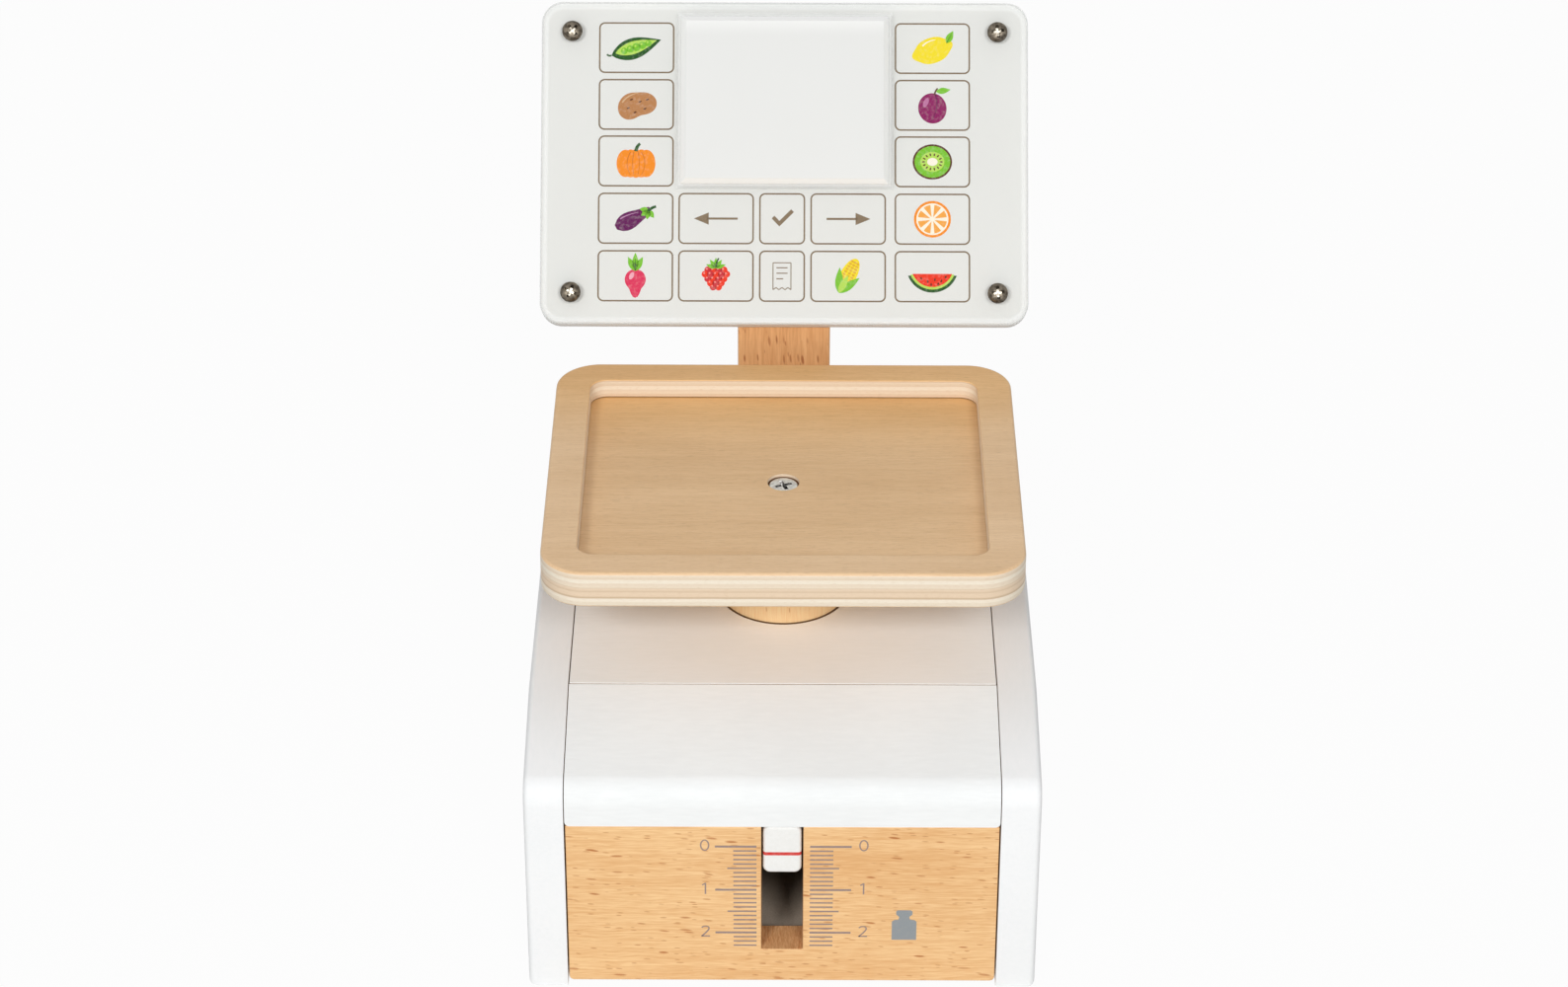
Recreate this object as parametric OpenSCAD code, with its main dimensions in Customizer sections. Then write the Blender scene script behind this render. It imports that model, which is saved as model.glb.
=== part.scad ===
// Wooden toy shop scale: a tray on a sprung column over a white housing,
// a pointer in a slot at the front and a leaning keypad panel on a post at the back.
// Lengths are millimetres. +X is to the right, +Y to the back, +Z up.
// The parts are laid out from the housing's front face, y = 0, and then moved so that
// the origin is on the ground under the middle of the whole object.

/* [Housing] */
// Width over the two side boards
base_w = 155; // [130:1:190]
// Thickness of the side, front, hood, top and back boards
board_t = 12; // [10:0.5:14]
// Height of the flat top
top_h = 83; // [76:1:95]
// Rise of the hood, from its front crease to the flat top
hood_rise = 10; // [6:0.5:14]
// Depth of the sloping hood, from the front face to the top plate
hood_d = 42; // [34:1:50]
// Radius of the hood's rounded front edge
hood_r = 8; // [4:0.5:12]
// Height of the hood's upright lip below the crease
hood_lip = 13; // [12:0.5:16]
// Radius of the lip's two lower corners
lip_r = 1.5; // [0.5:0.1:3]
// Gap between the hood and the top plate
top_gap = 0.6; // [0.1:0.1:1]
// Gap on each side of the hood and of the boards behind it
hood_gap = 0.25; // [0.05:0.05:0.5]
// Gap on each side of the front panel
front_gap = 0.4; // [0.2:0.1:1]
// Radius of the front panel's lower corners
front_r = 1.5; // [0.5:0.1:3]
// Height of the housing's back edge below the rear slope
rear_h = 57; // [48:1:66]
// Wood left in the top plate behind the column's hole
top_web = 3.4; // [2:0.2:8]
// Gap between the ground and the front, back and floor boards
toe_gap = 2; // [1:0.5:4]
// Thickness of the floor
floor_t = 6; // [4:0.5:8]
// Side of the square cleats that hold the floor
cleat_s = 10; // [8:0.5:14]
// Distance of the floor screws from the front and back boards
floor_screw_inset = 22; // [12:1:40]

/* [Column and spring] */
// Diameter of the column
col_d = 40; // [36:1:44]
// Gap around the column in the top plate
col_gap = 0.6; // [0.4:0.1:1]
// Distance of the column's axis from the front face
col_y = 96; // [88:1:106]
// Room left between the tray and the housing when it is pressed right down
pan_clear = 6; // [4:0.5:10]
// Room left between the column and the floor when it is pressed right down
col_clear = 4; // [2:0.5:8]
// Diameter of the spring's bore in the column
bore_d = 18; // [16.6:0.2:20]
// Diameter of the stop pin across the column
stop_d = 6; // [4:0.5:8]
// How far the stop pin stands out on each side of the column
stop_reach = 6; // [4:0.5:9]
// Wood between the stop pin and the end of the spring's bore
bore_web = 4.6; // [3:0.2:8]
// Diameter of the spring wire
wire_d = 1.4; // [1:0.1:1.8]
// Outer diameter of the spring
spring_d = 14.6; // [14:0.2:16]
// Number of turns of the spring
spring_turns = 11; // [6:1:14]
// Diameter of the spigot that centres the spring
dowel_d = 9.6; // [7:0.2:10]
// Room left between the spigot and the bore's end when pressed right down
dowel_clear = 2; // [1:0.5:6]

/* [Pointer] */
// Width of the pointer bar
pointer_w = 11.6; // [9:0.2:14]
// Radius of the pointer's long edges
pointer_r = 2.2; // [0.5:0.1:3]
// Gap on each side of the pointer in the slot
pointer_gap = 0.5; // [0.3:0.1:1]
// Height of the pointer bar
pointer_h = 17; // [12:0.5:20]
// Wood left in the front panel under the slot
slot_sill = 12; // [8:0.5:16]
// Length of the pointer's tenon in the column
tenon_l = 7; // [5:0.5:8]
// Diameter of the peg through the tenon
peg_d = 4; // [3:0.2:5]
// Length of the peg
peg_l = 14; // [10:0.5:16]

/* [Tray] */
// Width of the tray
pan_w = 146; // [120:1:170]
// Depth of the tray
pan_d = 127; // [100:1:140]
// Radius of the tray's outer corners
pan_r = 14; // [8:0.5:20]
// Width of the tray's rim
rim_w = 11; // [8:0.5:16]
// Radius of the tray's inner corners
inner_r = 5.5; // [3:0.5:10]
// Height of the rim above the tray's bottom
rim_h = 6.5; // [4:0.5:10]
// Thickness of the tray's bottom
pan_t = 5.5; // [4.5:0.5:8]
// Diameter of the tray screw's head
pan_screw_head = 8.8; // [7:0.2:10]
// Length of the tray screw
pan_screw_l = 32; // [20:1:40]
// Diameter of the dowels between tray and column
pan_dowel_d = 6; // [4:0.5:8]
// Length of these dowels
pan_dowel_l = 10; // [8:0.5:14]
// Distance of these dowels from the column's axis
pan_dowel_x = 13; // [10:0.5:14]

/* [Post and panel] */
// Gap between the tray and the post
pan_post_gap = 10.5; // [8:0.5:16]
// Width of the post
post_w = 30; // [24:1:40]
// Thickness of the post
post_t = 18; // [16:0.5:24]
// Height of the panel's lower back edge above the tray's rim
panel_lift = 7.5; // [4:0.5:20]
// Lean of the panel, back from upright
panel_lean = 36.5; // [28:0.5:42]
// Width of the panel
panel_w = 158; // [140:1:180]
// Height of the panel along its slope
panel_h = 105.5; // [95:0.5:120]
// Radius of the panel's corners
panel_r = 7; // [4:0.5:10]
// Thickness of the panel's backing board
panel_t = 7; // [6:0.5:10]
// Thickness of the printed keypad sheet
sheet_t = 0.3; // [0.2:0.1:0.6]
// Thickness of the clear cover
cover_t = 3; // [2:0.5:4]
// Distance of the corner screws from the panel's edges
screw_inset = 10; // [8:0.5:14]
// Diameter of the corner screws' heads
cover_screw_head = 6.6; // [5.6:0.2:8]
// Width of the display plate
display_w = 67.5; // [50:0.5:80]
// Height of the display plate
display_h = 55; // [40:0.5:60]
// Thickness of the display plate
display_t = 2; // [1.5:0.5:4]
// Width of the display plate's bevelled edge
display_bevel = 1.6; // [0.5:0.1:2]
// Distance of the display plate from the panel's upper edge
display_top = 5; // [3:0.5:10]

/* [Screws] */
// Diameter of the thin screws' shanks
thin_shank = 3; // [2.4:0.2:3.6]
// Diameter of the thick screws' shanks
thick_shank = 4.2; // [3.6:0.2:5]
// Head diameter of the countersunk wood screws
wood_head = 6; // [5:0.2:7]

/* [Hidden] */
$fn = 64;

// Clearances
glue_gap = 0.05;
running_gap = 0.5;
seat_gap = 0.1;
// Overshoot of cutting tools beyond the faces that they cut
cut = 1;
// Steps along the hood's rounded edge
arc_steps = 12;

// Housing
inner_w = base_w - 2 * board_t;
hood_w = inner_w - 2 * hood_gap;
front_h = top_h - hood_rise;
hood_z = front_h - hood_lip;
hood_a = atan((top_h - front_h) / hood_d);
arc_z = front_h + hood_r * tan(hood_a) - hood_r / cos(hood_a);
hole_r = col_d / 2 + col_gap;
rear_y = col_y + hole_r + top_web;
base_d = col_y + pan_d / 2 + pan_post_gap;
back_y = base_d - board_t;
floor_z = toe_gap + floor_t;
rear_fall = (top_h - rear_h) / (base_d - rear_y);

// Pointer, and how far it lets the platform be pressed down
pointer_top = hood_z - running_gap;
pointer_front = running_gap;
pointer_z = pointer_top - pointer_h;
slot_z = toe_gap + slot_sill;
slot_w = pointer_w + 2 * pointer_gap;
tenon_end = col_y - col_d / 2 + tenon_l;
peg_y = tenon_end - tenon_l / 2;
travel = pointer_z - slot_z - running_gap;

// Column, spring and stop
pan_z = top_h + travel + pan_clear;
col_z = floor_z + travel + col_clear;
stop_z = top_h - board_t - running_gap - stop_d / 2;
bore_end = stop_z - stop_d / 2 - bore_web;
dowel_top = bore_end - travel - dowel_clear;
coil_r = (spring_d - wire_d) / 2;
coil_z0 = floor_z + wire_d / 2 + seat_gap;
coil_z1 = bore_end - wire_d / 2 - seat_gap;

// Tray
tray_floor_z = pan_z + pan_t;
pan_head_h = (pan_screw_head - thick_shank) / 2;
pan_screw_sink = 1;
pan_rim_gap = 0.6;
pan_dowel_skin = 1;
pan_dowel_up = pan_t - pan_dowel_skin;

// Panel
post_h = tray_floor_z + rim_h + panel_lift;
panel_depth = base_d + panel_h * sin(panel_lean);
cover_z = panel_t + sheet_t;
face_z = cover_z + cover_t;
board_screw_x = 8;
board_screw_s = 10;
board_screw_bite = 10;
post_screw_bite = 12;
post_screw_rise = 12;
post_screw_drop = 18;
cover_screw_bite = 5;
cover_head_h = 2.2;
wood_head_h = (wood_head - thin_shank) / 2;
cross_depth = 1.2;
floor_screw_bite = 8;
shift_y = -panel_depth / 2;

// Colours
white = [0.95, 0.95, 0.94];
fibreboard = [0.58, 0.55, 0.51];
beech = [0.88, 0.68, 0.46];
ply = [0.82, 0.68, 0.5];
steel = [0.72, 0.72, 0.74];
dark_steel = [0.3, 0.29, 0.28];

// Moves a shape from the layout's front-face datum to the part's own frame
module placed() {
    translate([0, shift_y, 0]) children();
}

// Extrudes a side-view outline (y, z) along X
module across(x0, x1) {
    translate([x0, 0, 0]) rotate([90, 0, 90]) linear_extrude(x1 - x0) children();
}

// Panel frame: X across, Y up along the slope, Z out of the face, zero on the board's back
module on_panel() {
    translate([0, base_d, post_h]) rotate([90 - panel_lean, 0, 0]) children();
}

module rounded_rect(w, h, r) {
    square([w - 2 * r, h], center = true);
    square([w, h - 2 * r], center = true);
    for (x = [-1, 1], y = [-1, 1]) translate([x * (w / 2 - r), y * (h / 2 - r)]) circle(r);
}

// Points of the hood's rounded front edge, from the upright front to the slope
function hood_edge() = [for (i = [0:arc_steps])
    let (t = 180 - (90 - hood_a) * i / arc_steps)
    [hood_r + hood_r * cos(t), arc_z + hood_r * sin(t)]];

function rear_z(y) = top_h - (y - rear_y) * rear_fall;

// Cross recess, cut down from z = 0
module cross_recess(head_d) {
    arm = head_d * 0.56;
    slot = head_d * 0.13;
    for (a = [45, 135]) rotate([0, 0, a])
        translate([-arm / 2, -slot / 2, -cross_depth]) cube([arm, slot, cross_depth + cut]);
}

// Countersunk screw with its head's top at z = 0, pointing down
module flat_screw(head_d, shank_d, head_h, l) {
    tip = shank_d;
    difference() {
        rotate_extrude() polygon([[0, 0], [head_d / 2, 0], [shank_d / 2, -head_h],
            [shank_d / 2, tip - l], [0, -l]]);
        cross_recess(head_d);
    }
}

// Round-headed screw seated at z = 0, pointing down
module pan_head_screw(head_d, shank_d, head_h, l) {
    tip = shank_d;
    edge = head_h / 2;
    difference() {
        rotate_extrude() polygon([[0, head_h], [head_d / 2 - edge, head_h], [head_d / 2, edge],
            [head_d / 2, 0], [shank_d / 2, 0], [shank_d / 2, tip - l], [0, -l]]);
        translate([0, 0, head_h]) cross_recess(head_d);
    }
}

// Hole for a countersunk screw whose head's top is at z = 0, open upwards
module flat_screw_hole(head_d, shank_d, head_h, l) {
    g = glue_gap;
    rotate_extrude() polygon([[0, cut], [head_d / 2 + g, cut], [head_d / 2 + g, 0],
        [shank_d / 2 + g, -head_h - g], [shank_d / 2 + g, -l - g], [0, -l - g]]);
}

// Places of the floor screws, each over a cleat
module at_floor_screws() {
    x = inner_w / 2 - cleat_s / 2;
    y0 = board_t + floor_screw_inset;
    y1 = back_y - floor_screw_inset;
    for (sx = [-x, x], y = [y0, y1]) translate([sx, y, toe_gap]) mirror([0, 0, 1]) children();
}

// Places of the panel's corner screws, on the cover's face
module at_cover_screws(z) {
    for (x = [-1, 1], y = [screw_inset, panel_h - screw_inset])
        translate([x * (panel_w / 2 - screw_inset), y, z]) children();
}

// Places of the screws from the panel's board into the post
module at_board_screws() {
    for (x = [-1, 1]) translate([x * board_screw_x, board_screw_s, panel_t]) children();
}

// Places of the screws from the back board into the post, pointing back
module at_post_screws() {
    for (z = [floor_z + post_screw_rise, rear_h - post_screw_drop])
        translate([0, back_y, z]) rotate([90, 0, 0]) children();
}

module side_board(x0) {
    outline = concat([[0, 0]], hood_edge(),
        [[hood_d, top_h], [rear_y, top_h], [base_d, rear_h], [base_d, 0]]);
    color(white) placed() across(x0, x0 + board_t) polygon(outline);
}

module left_side() {
    side_board(-base_w / 2);
}

module right_side() {
    side_board(base_w / 2 - board_t);
}

// Upright rectangle on the line y = 0, with round lower corners
module round_footed(w, h, r) {
    translate([-w / 2, r]) square([w, h - r]);
    translate([r - w / 2, 0]) square([w - 2 * r, h]);
    for (x = [-1, 1]) translate([x * (w / 2 - r), r]) circle(r);
}

module front_panel() {
    color(beech) placed() difference() {
        translate([0, board_t, toe_gap]) rotate([90, 0, 0]) linear_extrude(board_t)
            round_footed(inner_w - 2 * front_gap, hood_z - toe_gap, front_r);
        translate([-slot_w / 2, -cut, slot_z]) cube([slot_w, board_t + 2 * cut, hood_z]);
    }
}

// What rounding takes off the lip's lower corner on the right
module lip_corner() {
    translate([hood_w / 2, board_t + cut, hood_z]) rotate([90, 0, 0]) linear_extrude(board_t + 2 * cut)
        difference() {
            translate([-lip_r, -cut]) square([lip_r + cut, lip_r + cut]);
            translate([-lip_r, lip_r]) circle(lip_r);
        }
}

module hood() {
    inner_z = front_h + board_t * tan(hood_a) - board_t;
    outline = concat([[0, hood_z]], hood_edge(), [[hood_d, top_h], [hood_d, top_h - board_t],
        [board_t, inner_z], [board_t, hood_z]]);
    color(white) placed() difference() {
        across(-hood_w / 2, hood_w / 2) polygon(outline);
        lip_corner();
        mirror([1, 0, 0]) lip_corner();
    }
}

module top_plate() {
    plate_y = hood_d + top_gap;
    color(white) placed() difference() {
        translate([-hood_w / 2, plate_y, top_h - board_t]) cube([hood_w, rear_y - plate_y, board_t]);
        translate([0, col_y, top_h - board_t - cut]) cylinder(r = hole_r, h = board_t + 2 * cut);
    }
}

module rear_hood() {
    color(white) placed() across(-hood_w / 2, hood_w / 2)
        polygon([[rear_y, top_h], [base_d, rear_h], [base_d, rear_h - board_t], [rear_y, top_h - board_t]]);
}

module back_panel() {
    color(white) placed() difference() {
        across(-inner_w / 2, inner_w / 2) polygon([[back_y, toe_gap], [base_d, toe_gap],
            [base_d, rear_z(base_d) - board_t], [back_y, rear_z(back_y) - board_t]]);
        at_post_screws() cylinder(r = thin_shank / 2 + glue_gap, h = 2 * (board_t + cut), center = true);
    }
}

module bottom_plate() {
    color(fibreboard) placed() difference() {
        translate([-inner_w / 2, board_t, toe_gap]) cube([inner_w, back_y - board_t, floor_t]);
        translate([0, col_y, toe_gap - cut]) cylinder(d = dowel_d + 2 * glue_gap, h = floor_t + 2 * cut);
        at_floor_screws() flat_screw_hole(wood_head, thin_shank, wood_head_h, floor_t + floor_screw_bite);
    }
}

module cleat(x0) {
    color(beech) placed() difference() {
        translate([x0, board_t, floor_z]) cube([cleat_s, back_y - board_t, cleat_s]);
        at_floor_screws() flat_screw_hole(wood_head, thin_shank, wood_head_h, floor_t + floor_screw_bite);
    }
}

module left_cleat() {
    cleat(-inner_w / 2);
}

module right_cleat() {
    cleat(inner_w / 2 - cleat_s);
}

module bottom_screws() {
    color(steel) placed() at_floor_screws()
        flat_screw(wood_head, thin_shank, wood_head_h, floor_t + floor_screw_bite);
}

module spring_dowel() {
    color(beech) placed() translate([0, col_y, toe_gap])
        cylinder(d = dowel_d, h = dowel_top - toe_gap);
}

// Centre line of the spring and one ring of its wire
turn_rings = 8;
wire_sides = 6;
ring_count = turn_rings * spring_turns;
coil_rise = coil_z1 - coil_z0;
coil_tilt = atan(coil_rise / (spring_turns * 2 * PI * coil_r));

function coil_point(i) = let (a = 360 * i / turn_rings)
    [coil_r * cos(a), coil_r * sin(a), coil_z0 + coil_rise * i / ring_count];

function wire_ring(i) = let (a = 360 * i / turn_rings, c = coil_point(i))
    [for (k = [0:wire_sides - 1]) let (b = 360 * k / wire_sides + 30,
        out = wire_d / 2 * cos(b), up = wire_d / 2 * sin(b))
        c + out * [cos(a), sin(a), 0]
          + up * [sin(a) * sin(coil_tilt), -cos(a) * sin(coil_tilt), cos(coil_tilt)]];

// Least gap between neighbouring turns, measured on the ring points
coil_gap = min([for (i = [0:ring_count - turn_rings], p = wire_ring(i), q = wire_ring(i + turn_rings))
    norm(p - q)]);
echo(spring_least_gap = coil_gap);

module spring() {
    points = [for (i = [0:ring_count]) each wire_ring(i)];
    n = wire_sides;
    last = ring_count * n;
    walls = [for (i = [0:ring_count - 1], k = [0:n - 1])
        let (a = i * n + k, b = i * n + (k + 1) % n)
        each [[a, b, b + n], [a, b + n, a + n]]];
    start_cap = [for (k = [1:n - 2]) [0, k + 1, k]];
    end_cap = [for (k = [1:n - 2]) [last, last + k, last + k + 1]];
    color(steel) placed() translate([0, col_y, 0])
        polyhedron(points, concat(walls, start_cap, end_cap));
}

module post() {
    rise = post_t / tan(panel_lean);
    color(beech) placed() difference() {
        across(-post_w / 2, post_w / 2) polygon([[base_d, toe_gap], [base_d + post_t, toe_gap],
            [base_d + post_t, post_h + rise], [base_d, post_h]]);
        at_post_screws() translate([0, 0, -board_t - post_screw_bite - glue_gap])
            cylinder(r = thin_shank / 2 + glue_gap, h = board_t + post_screw_bite + glue_gap);
        on_panel() at_board_screws()
            flat_screw_hole(wood_head, thin_shank, wood_head_h, panel_t + board_screw_bite);
    }
}

module post_screws() {
    color(steel) placed() at_post_screws()
        pan_head_screw(wood_head, thin_shank, cover_head_h, board_t + post_screw_bite);
}

module panel_plate(z0, t) {
    translate([0, panel_h / 2, z0]) linear_extrude(t) rounded_rect(panel_w, panel_h, panel_r);
}

module panel_board() {
    color(white) placed() on_panel() difference() {
        panel_plate(0, panel_t);
        at_cover_screws(panel_t - cover_screw_bite - glue_gap)
            cylinder(r = thin_shank / 2 + glue_gap, h = panel_t);
        at_board_screws() flat_screw_hole(wood_head, thin_shank, wood_head_h, panel_t + board_screw_bite);
    }
}

module board_screws() {
    color(steel) placed() on_panel() at_board_screws()
        flat_screw(wood_head, thin_shank, wood_head_h, panel_t + board_screw_bite);
}

module keypad_sheet() {
    color(white) placed() on_panel() difference() {
        panel_plate(panel_t, sheet_t);
        at_cover_screws(panel_t - cut) cylinder(r = thin_shank / 2 + seat_gap, h = sheet_t + 2 * cut);
    }
}

module acrylic_cover() {
    color([0.9, 0.93, 0.92, 0.4]) placed() on_panel() difference() {
        panel_plate(cover_z, cover_t);
        at_cover_screws(cover_z - cut) cylinder(r = thin_shank / 2 + seat_gap, h = cover_t + 2 * cut);
    }
}

module display_plate() {
    inner = 2 * display_bevel;
    color(white) placed() on_panel()
        translate([0, panel_h - display_top - display_h / 2, face_z])
        hull() {
            linear_extrude(display_t - display_bevel + seat_gap) square([display_w, display_h], center = true);
            linear_extrude(display_t) square([display_w - inner, display_h - inner], center = true);
        }
}

module cover_screws() {
    color(dark_steel) placed() on_panel() at_cover_screws(face_z)
        pan_head_screw(cover_screw_head, thin_shank, cover_head_h, cover_t + sheet_t + cover_screw_bite);
}

module pan_frame() {
    color(ply) placed() translate([0, col_y, tray_floor_z]) linear_extrude(rim_h) difference() {
        rounded_rect(pan_w, pan_d, pan_r);
        rounded_rect(pan_w - 2 * rim_w, pan_d - 2 * rim_w, inner_r);
    }
}

// The tray screw's place, with z = 0 at the top of its head
module at_pan_screw() {
    translate([0, col_y, tray_floor_z - pan_screw_sink]) children();
}

module at_pan_dowels() {
    for (x = [-1, 1]) translate([x * pan_dowel_x, col_y, pan_z - pan_dowel_l / 2]) children();
}

module pan_base() {
    rim = pan_screw_head / 2 + pan_rim_gap;
    color(ply) placed() difference() {
        translate([0, col_y, pan_z]) linear_extrude(pan_t) rounded_rect(pan_w, pan_d, pan_r);
        at_pan_screw() {
            flat_screw_hole(pan_screw_head, thick_shank, pan_head_h, pan_screw_l);
            translate([0, 0, -pan_rim_gap]) cylinder(r = rim, h = pan_screw_sink + pan_rim_gap + cut);
        }
        at_pan_dowels() cylinder(r = pan_dowel_d / 2 + glue_gap, h = pan_dowel_l / 2 + pan_dowel_up);
    }
}

module pan_screw() {
    color(steel) placed() at_pan_screw() flat_screw(pan_screw_head, thick_shank, pan_head_h, pan_screw_l);
}

module pan_dowels() {
    color(beech) placed() at_pan_dowels()
        cylinder(d = pan_dowel_d, h = pan_dowel_l / 2 + pan_dowel_up - seat_gap);
}

module column() {
    color(beech) placed() difference() {
        translate([0, col_y, col_z]) cylinder(d = col_d, h = pan_z - col_z);
        translate([0, col_y, col_z - cut]) cylinder(d = bore_d, h = bore_end - col_z + cut);
        translate([-col_d, col_y, stop_z]) rotate([0, 90, 0])
            cylinder(r = stop_d / 2 + glue_gap, h = 2 * col_d);
        pointer_bar(tenon_end - col_d);
        translate([0, peg_y, col_z - cut]) cylinder(r = peg_d / 2 + glue_gap, h = pointer_z - col_z + 2 * cut);
        at_pan_screw() flat_screw_hole(pan_screw_head, thick_shank, pan_head_h, pan_screw_l);
        at_pan_dowels() translate([0, 0, -seat_gap]) cylinder(r = pan_dowel_d / 2 + glue_gap, h = pan_dowel_l);
    }
}

// The pointer's bar from y0 back to the tenon's end
module pointer_bar(y0) {
    translate([0, tenon_end, pointer_z + pointer_h / 2]) rotate([90, 0, 0])
        linear_extrude(tenon_end - y0) rounded_rect(pointer_w, pointer_h, pointer_r);
}

module pointer() {
    color(white) placed() difference() {
        pointer_bar(pointer_front);
        translate([0, peg_y, pointer_z - cut])
            cylinder(r = peg_d / 2 + glue_gap, h = cut + peg_l - (pointer_z - col_z) + seat_gap);
    }
}

module pointer_pin() {
    color(beech) placed() translate([0, peg_y, col_z]) cylinder(d = peg_d, h = peg_l);
}

module stop_pin() {
    half = col_d / 2 + stop_reach;
    color(beech) placed() translate([-half, col_y, stop_z]) rotate([0, 90, 0]) cylinder(d = stop_d, h = 2 * half);
}

left_side();
right_side();
front_panel();
hood();
top_plate();
rear_hood();
back_panel();
bottom_plate();
left_cleat();
right_cleat();
bottom_screws();
spring_dowel();
spring();
post();
post_screws();
panel_board();
board_screws();
keypad_sheet();
acrylic_cover();
display_plate();
cover_screws();
pan_frame();
pan_base();
pan_screw();
pan_dowels();
column();
pointer();
pointer_pin();
stop_pin();
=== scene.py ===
import math

import bmesh
import bpy
from mathutils import Matrix, Vector


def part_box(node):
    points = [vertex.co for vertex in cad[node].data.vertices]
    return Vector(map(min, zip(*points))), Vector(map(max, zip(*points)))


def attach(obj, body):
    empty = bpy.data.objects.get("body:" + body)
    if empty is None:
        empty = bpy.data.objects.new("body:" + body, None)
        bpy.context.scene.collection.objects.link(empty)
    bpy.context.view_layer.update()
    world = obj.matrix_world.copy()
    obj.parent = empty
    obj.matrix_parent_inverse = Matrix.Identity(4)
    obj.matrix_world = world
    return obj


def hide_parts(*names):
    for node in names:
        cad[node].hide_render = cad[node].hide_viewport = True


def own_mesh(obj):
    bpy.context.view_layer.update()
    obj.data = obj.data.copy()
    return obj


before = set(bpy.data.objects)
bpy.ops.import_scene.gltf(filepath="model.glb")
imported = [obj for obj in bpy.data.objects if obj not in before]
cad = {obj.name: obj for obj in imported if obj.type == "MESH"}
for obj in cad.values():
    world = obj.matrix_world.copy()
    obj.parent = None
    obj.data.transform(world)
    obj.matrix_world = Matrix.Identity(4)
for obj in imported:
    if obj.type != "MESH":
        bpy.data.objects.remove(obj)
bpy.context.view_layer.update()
scene = bpy.context.scene
scene.view_settings.view_transform = "Standard"

MM = 0.001
TOUCH = 0.1 * MM  # an edge this near a face lies on it


def middle_y(node):
    return sum(corner.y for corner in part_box(node)) / 2


# Places read from the solids, in metres
front_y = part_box("front_panel")[0].y
housing_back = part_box("left_side")[1].y
tray_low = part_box("pan_base")[0].z
tray_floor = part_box("pan_base")[1].z
tray_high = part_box("pan_frame")[1].z
pointer_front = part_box("pointer")[0].y
column_y = middle_y("column")

# The panel's own frame: x across, y up along its slope, z out of its face. Its sizes are millimetres
LEAN = math.radians(36.5)
PANEL_OUT = (0, -math.cos(LEAN), math.sin(LEAN))
PANEL_W, PANEL_H, PANEL_CORNER = 158, 105.5, 7.0
SHEET_FACE = 7.3
COVER_FACE = 10.3
INK_GAP = 0.15
SCREW_INSET = 10
panel_place = (Matrix.Translation((0, housing_back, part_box("panel_board")[0].z))
               @ Matrix.Rotation(math.pi / 2 - LEAN, 4, "X"))
display_ups = [(panel_place.inverted() @ v.co).y / MM for v in cad["display_plate"].data.vertices]
DISPLAY_LOW, DISPLAY_HIGH = min(display_ups), max(display_ups)
# The front panel's own frame: x across, y up from the ground, z out of its face
front_place = Matrix.Translation((0, front_y, 0)) @ Matrix.Rotation(math.pi / 2, 4, "X")


# Camera: a long lens that looks down on the scale from the front

SENSOR = 36
FOCAL_PIXELS, PHOTO_PIXELS = 4112.8, 1588
AIM_X, AIM_BEHIND_FRONT, AIM_HEIGHT = 0.18, 60, 140.36
DOWNWARD, ROLL = 31.37, 0.18
DISTANCE = 1224.6


def set_camera():
    lens = bpy.data.cameras.new("camera")
    lens.sensor_fit = "HORIZONTAL"
    lens.sensor_width = SENSOR
    lens.lens = SENSOR * FOCAL_PIXELS / PHOTO_PIXELS
    camera = bpy.data.objects.new("camera", lens)
    aim = Matrix.Translation((AIM_X * MM, front_y + AIM_BEHIND_FRONT * MM, AIM_HEIGHT * MM))
    tilt = Matrix.Rotation(math.radians(90 - DOWNWARD), 4, "X")
    roll = Matrix.Rotation(math.radians(ROLL), 4, "Z")
    camera.matrix_world = aim @ tilt @ roll @ Matrix.Translation((0, 0, DISTANCE * MM))
    scene.collection.objects.link(camera)
    scene.camera = camera


# Node trees

class Wire:
    """An output socket. Arithmetic on it adds Math nodes to its tree."""

    def __init__(self, tree, socket):
        self.tree, self.socket = tree, socket

    def math(self, operation, *others):
        return self.tree.add("ShaderNodeMath", {"operation": operation}, dict(enumerate((self, *others))))

    def __add__(self, other):
        return self.math("ADD", other)

    def __sub__(self, other):
        return self.math("SUBTRACT", other)

    def __rsub__(self, other):
        return self.math("MULTIPLY_ADD", -1.0, other)

    def __mul__(self, other):
        return self.math("MULTIPLY", other)

    def __truediv__(self, other):
        return self.math("DIVIDE", other)

    __radd__, __rmul__ = __add__, __mul__

    def size(self):
        return self.math("ABSOLUTE")

    def between(self, low, high):
        """0 below low, 1 above high, and a smooth rise between them."""
        return self.tree.add("ShaderNodeMapRange", {"interpolation_type": "SMOOTHSTEP"},
                             {"Value": self, "From Min": low, "From Max": high})


class Tree:
    """A node tree that is built one node at a time."""

    def __init__(self, tree):
        self.tree = tree

    def add(self, kind, settings=None, sockets=None, out=0):
        node = self.tree.nodes.new(kind)
        for key, value in (settings or {}).items():
            if key == "stops":
                set_stops(node.color_ramp, value)
            else:
                setattr(node, key, value)
        for key, value in (sockets or {}).items():
            if isinstance(value, Wire):
                self.tree.links.new(value.socket, node.inputs[key])
            else:
                node.inputs[key].default_value = value
        return Wire(self, node.outputs[out])

    def point(self, x, y, z):
        return self.add("ShaderNodeCombineXYZ", None, {0: x, 1: y, 2: z})


def set_stops(ramp, stops):
    while len(ramp.elements) > 1:
        ramp.elements.remove(ramp.elements[-1])
    ramp.elements[0].position, ramp.elements[0].color = stops[0]
    for place, colour in stops[1:]:
        ramp.elements.new(place).color = colour


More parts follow.
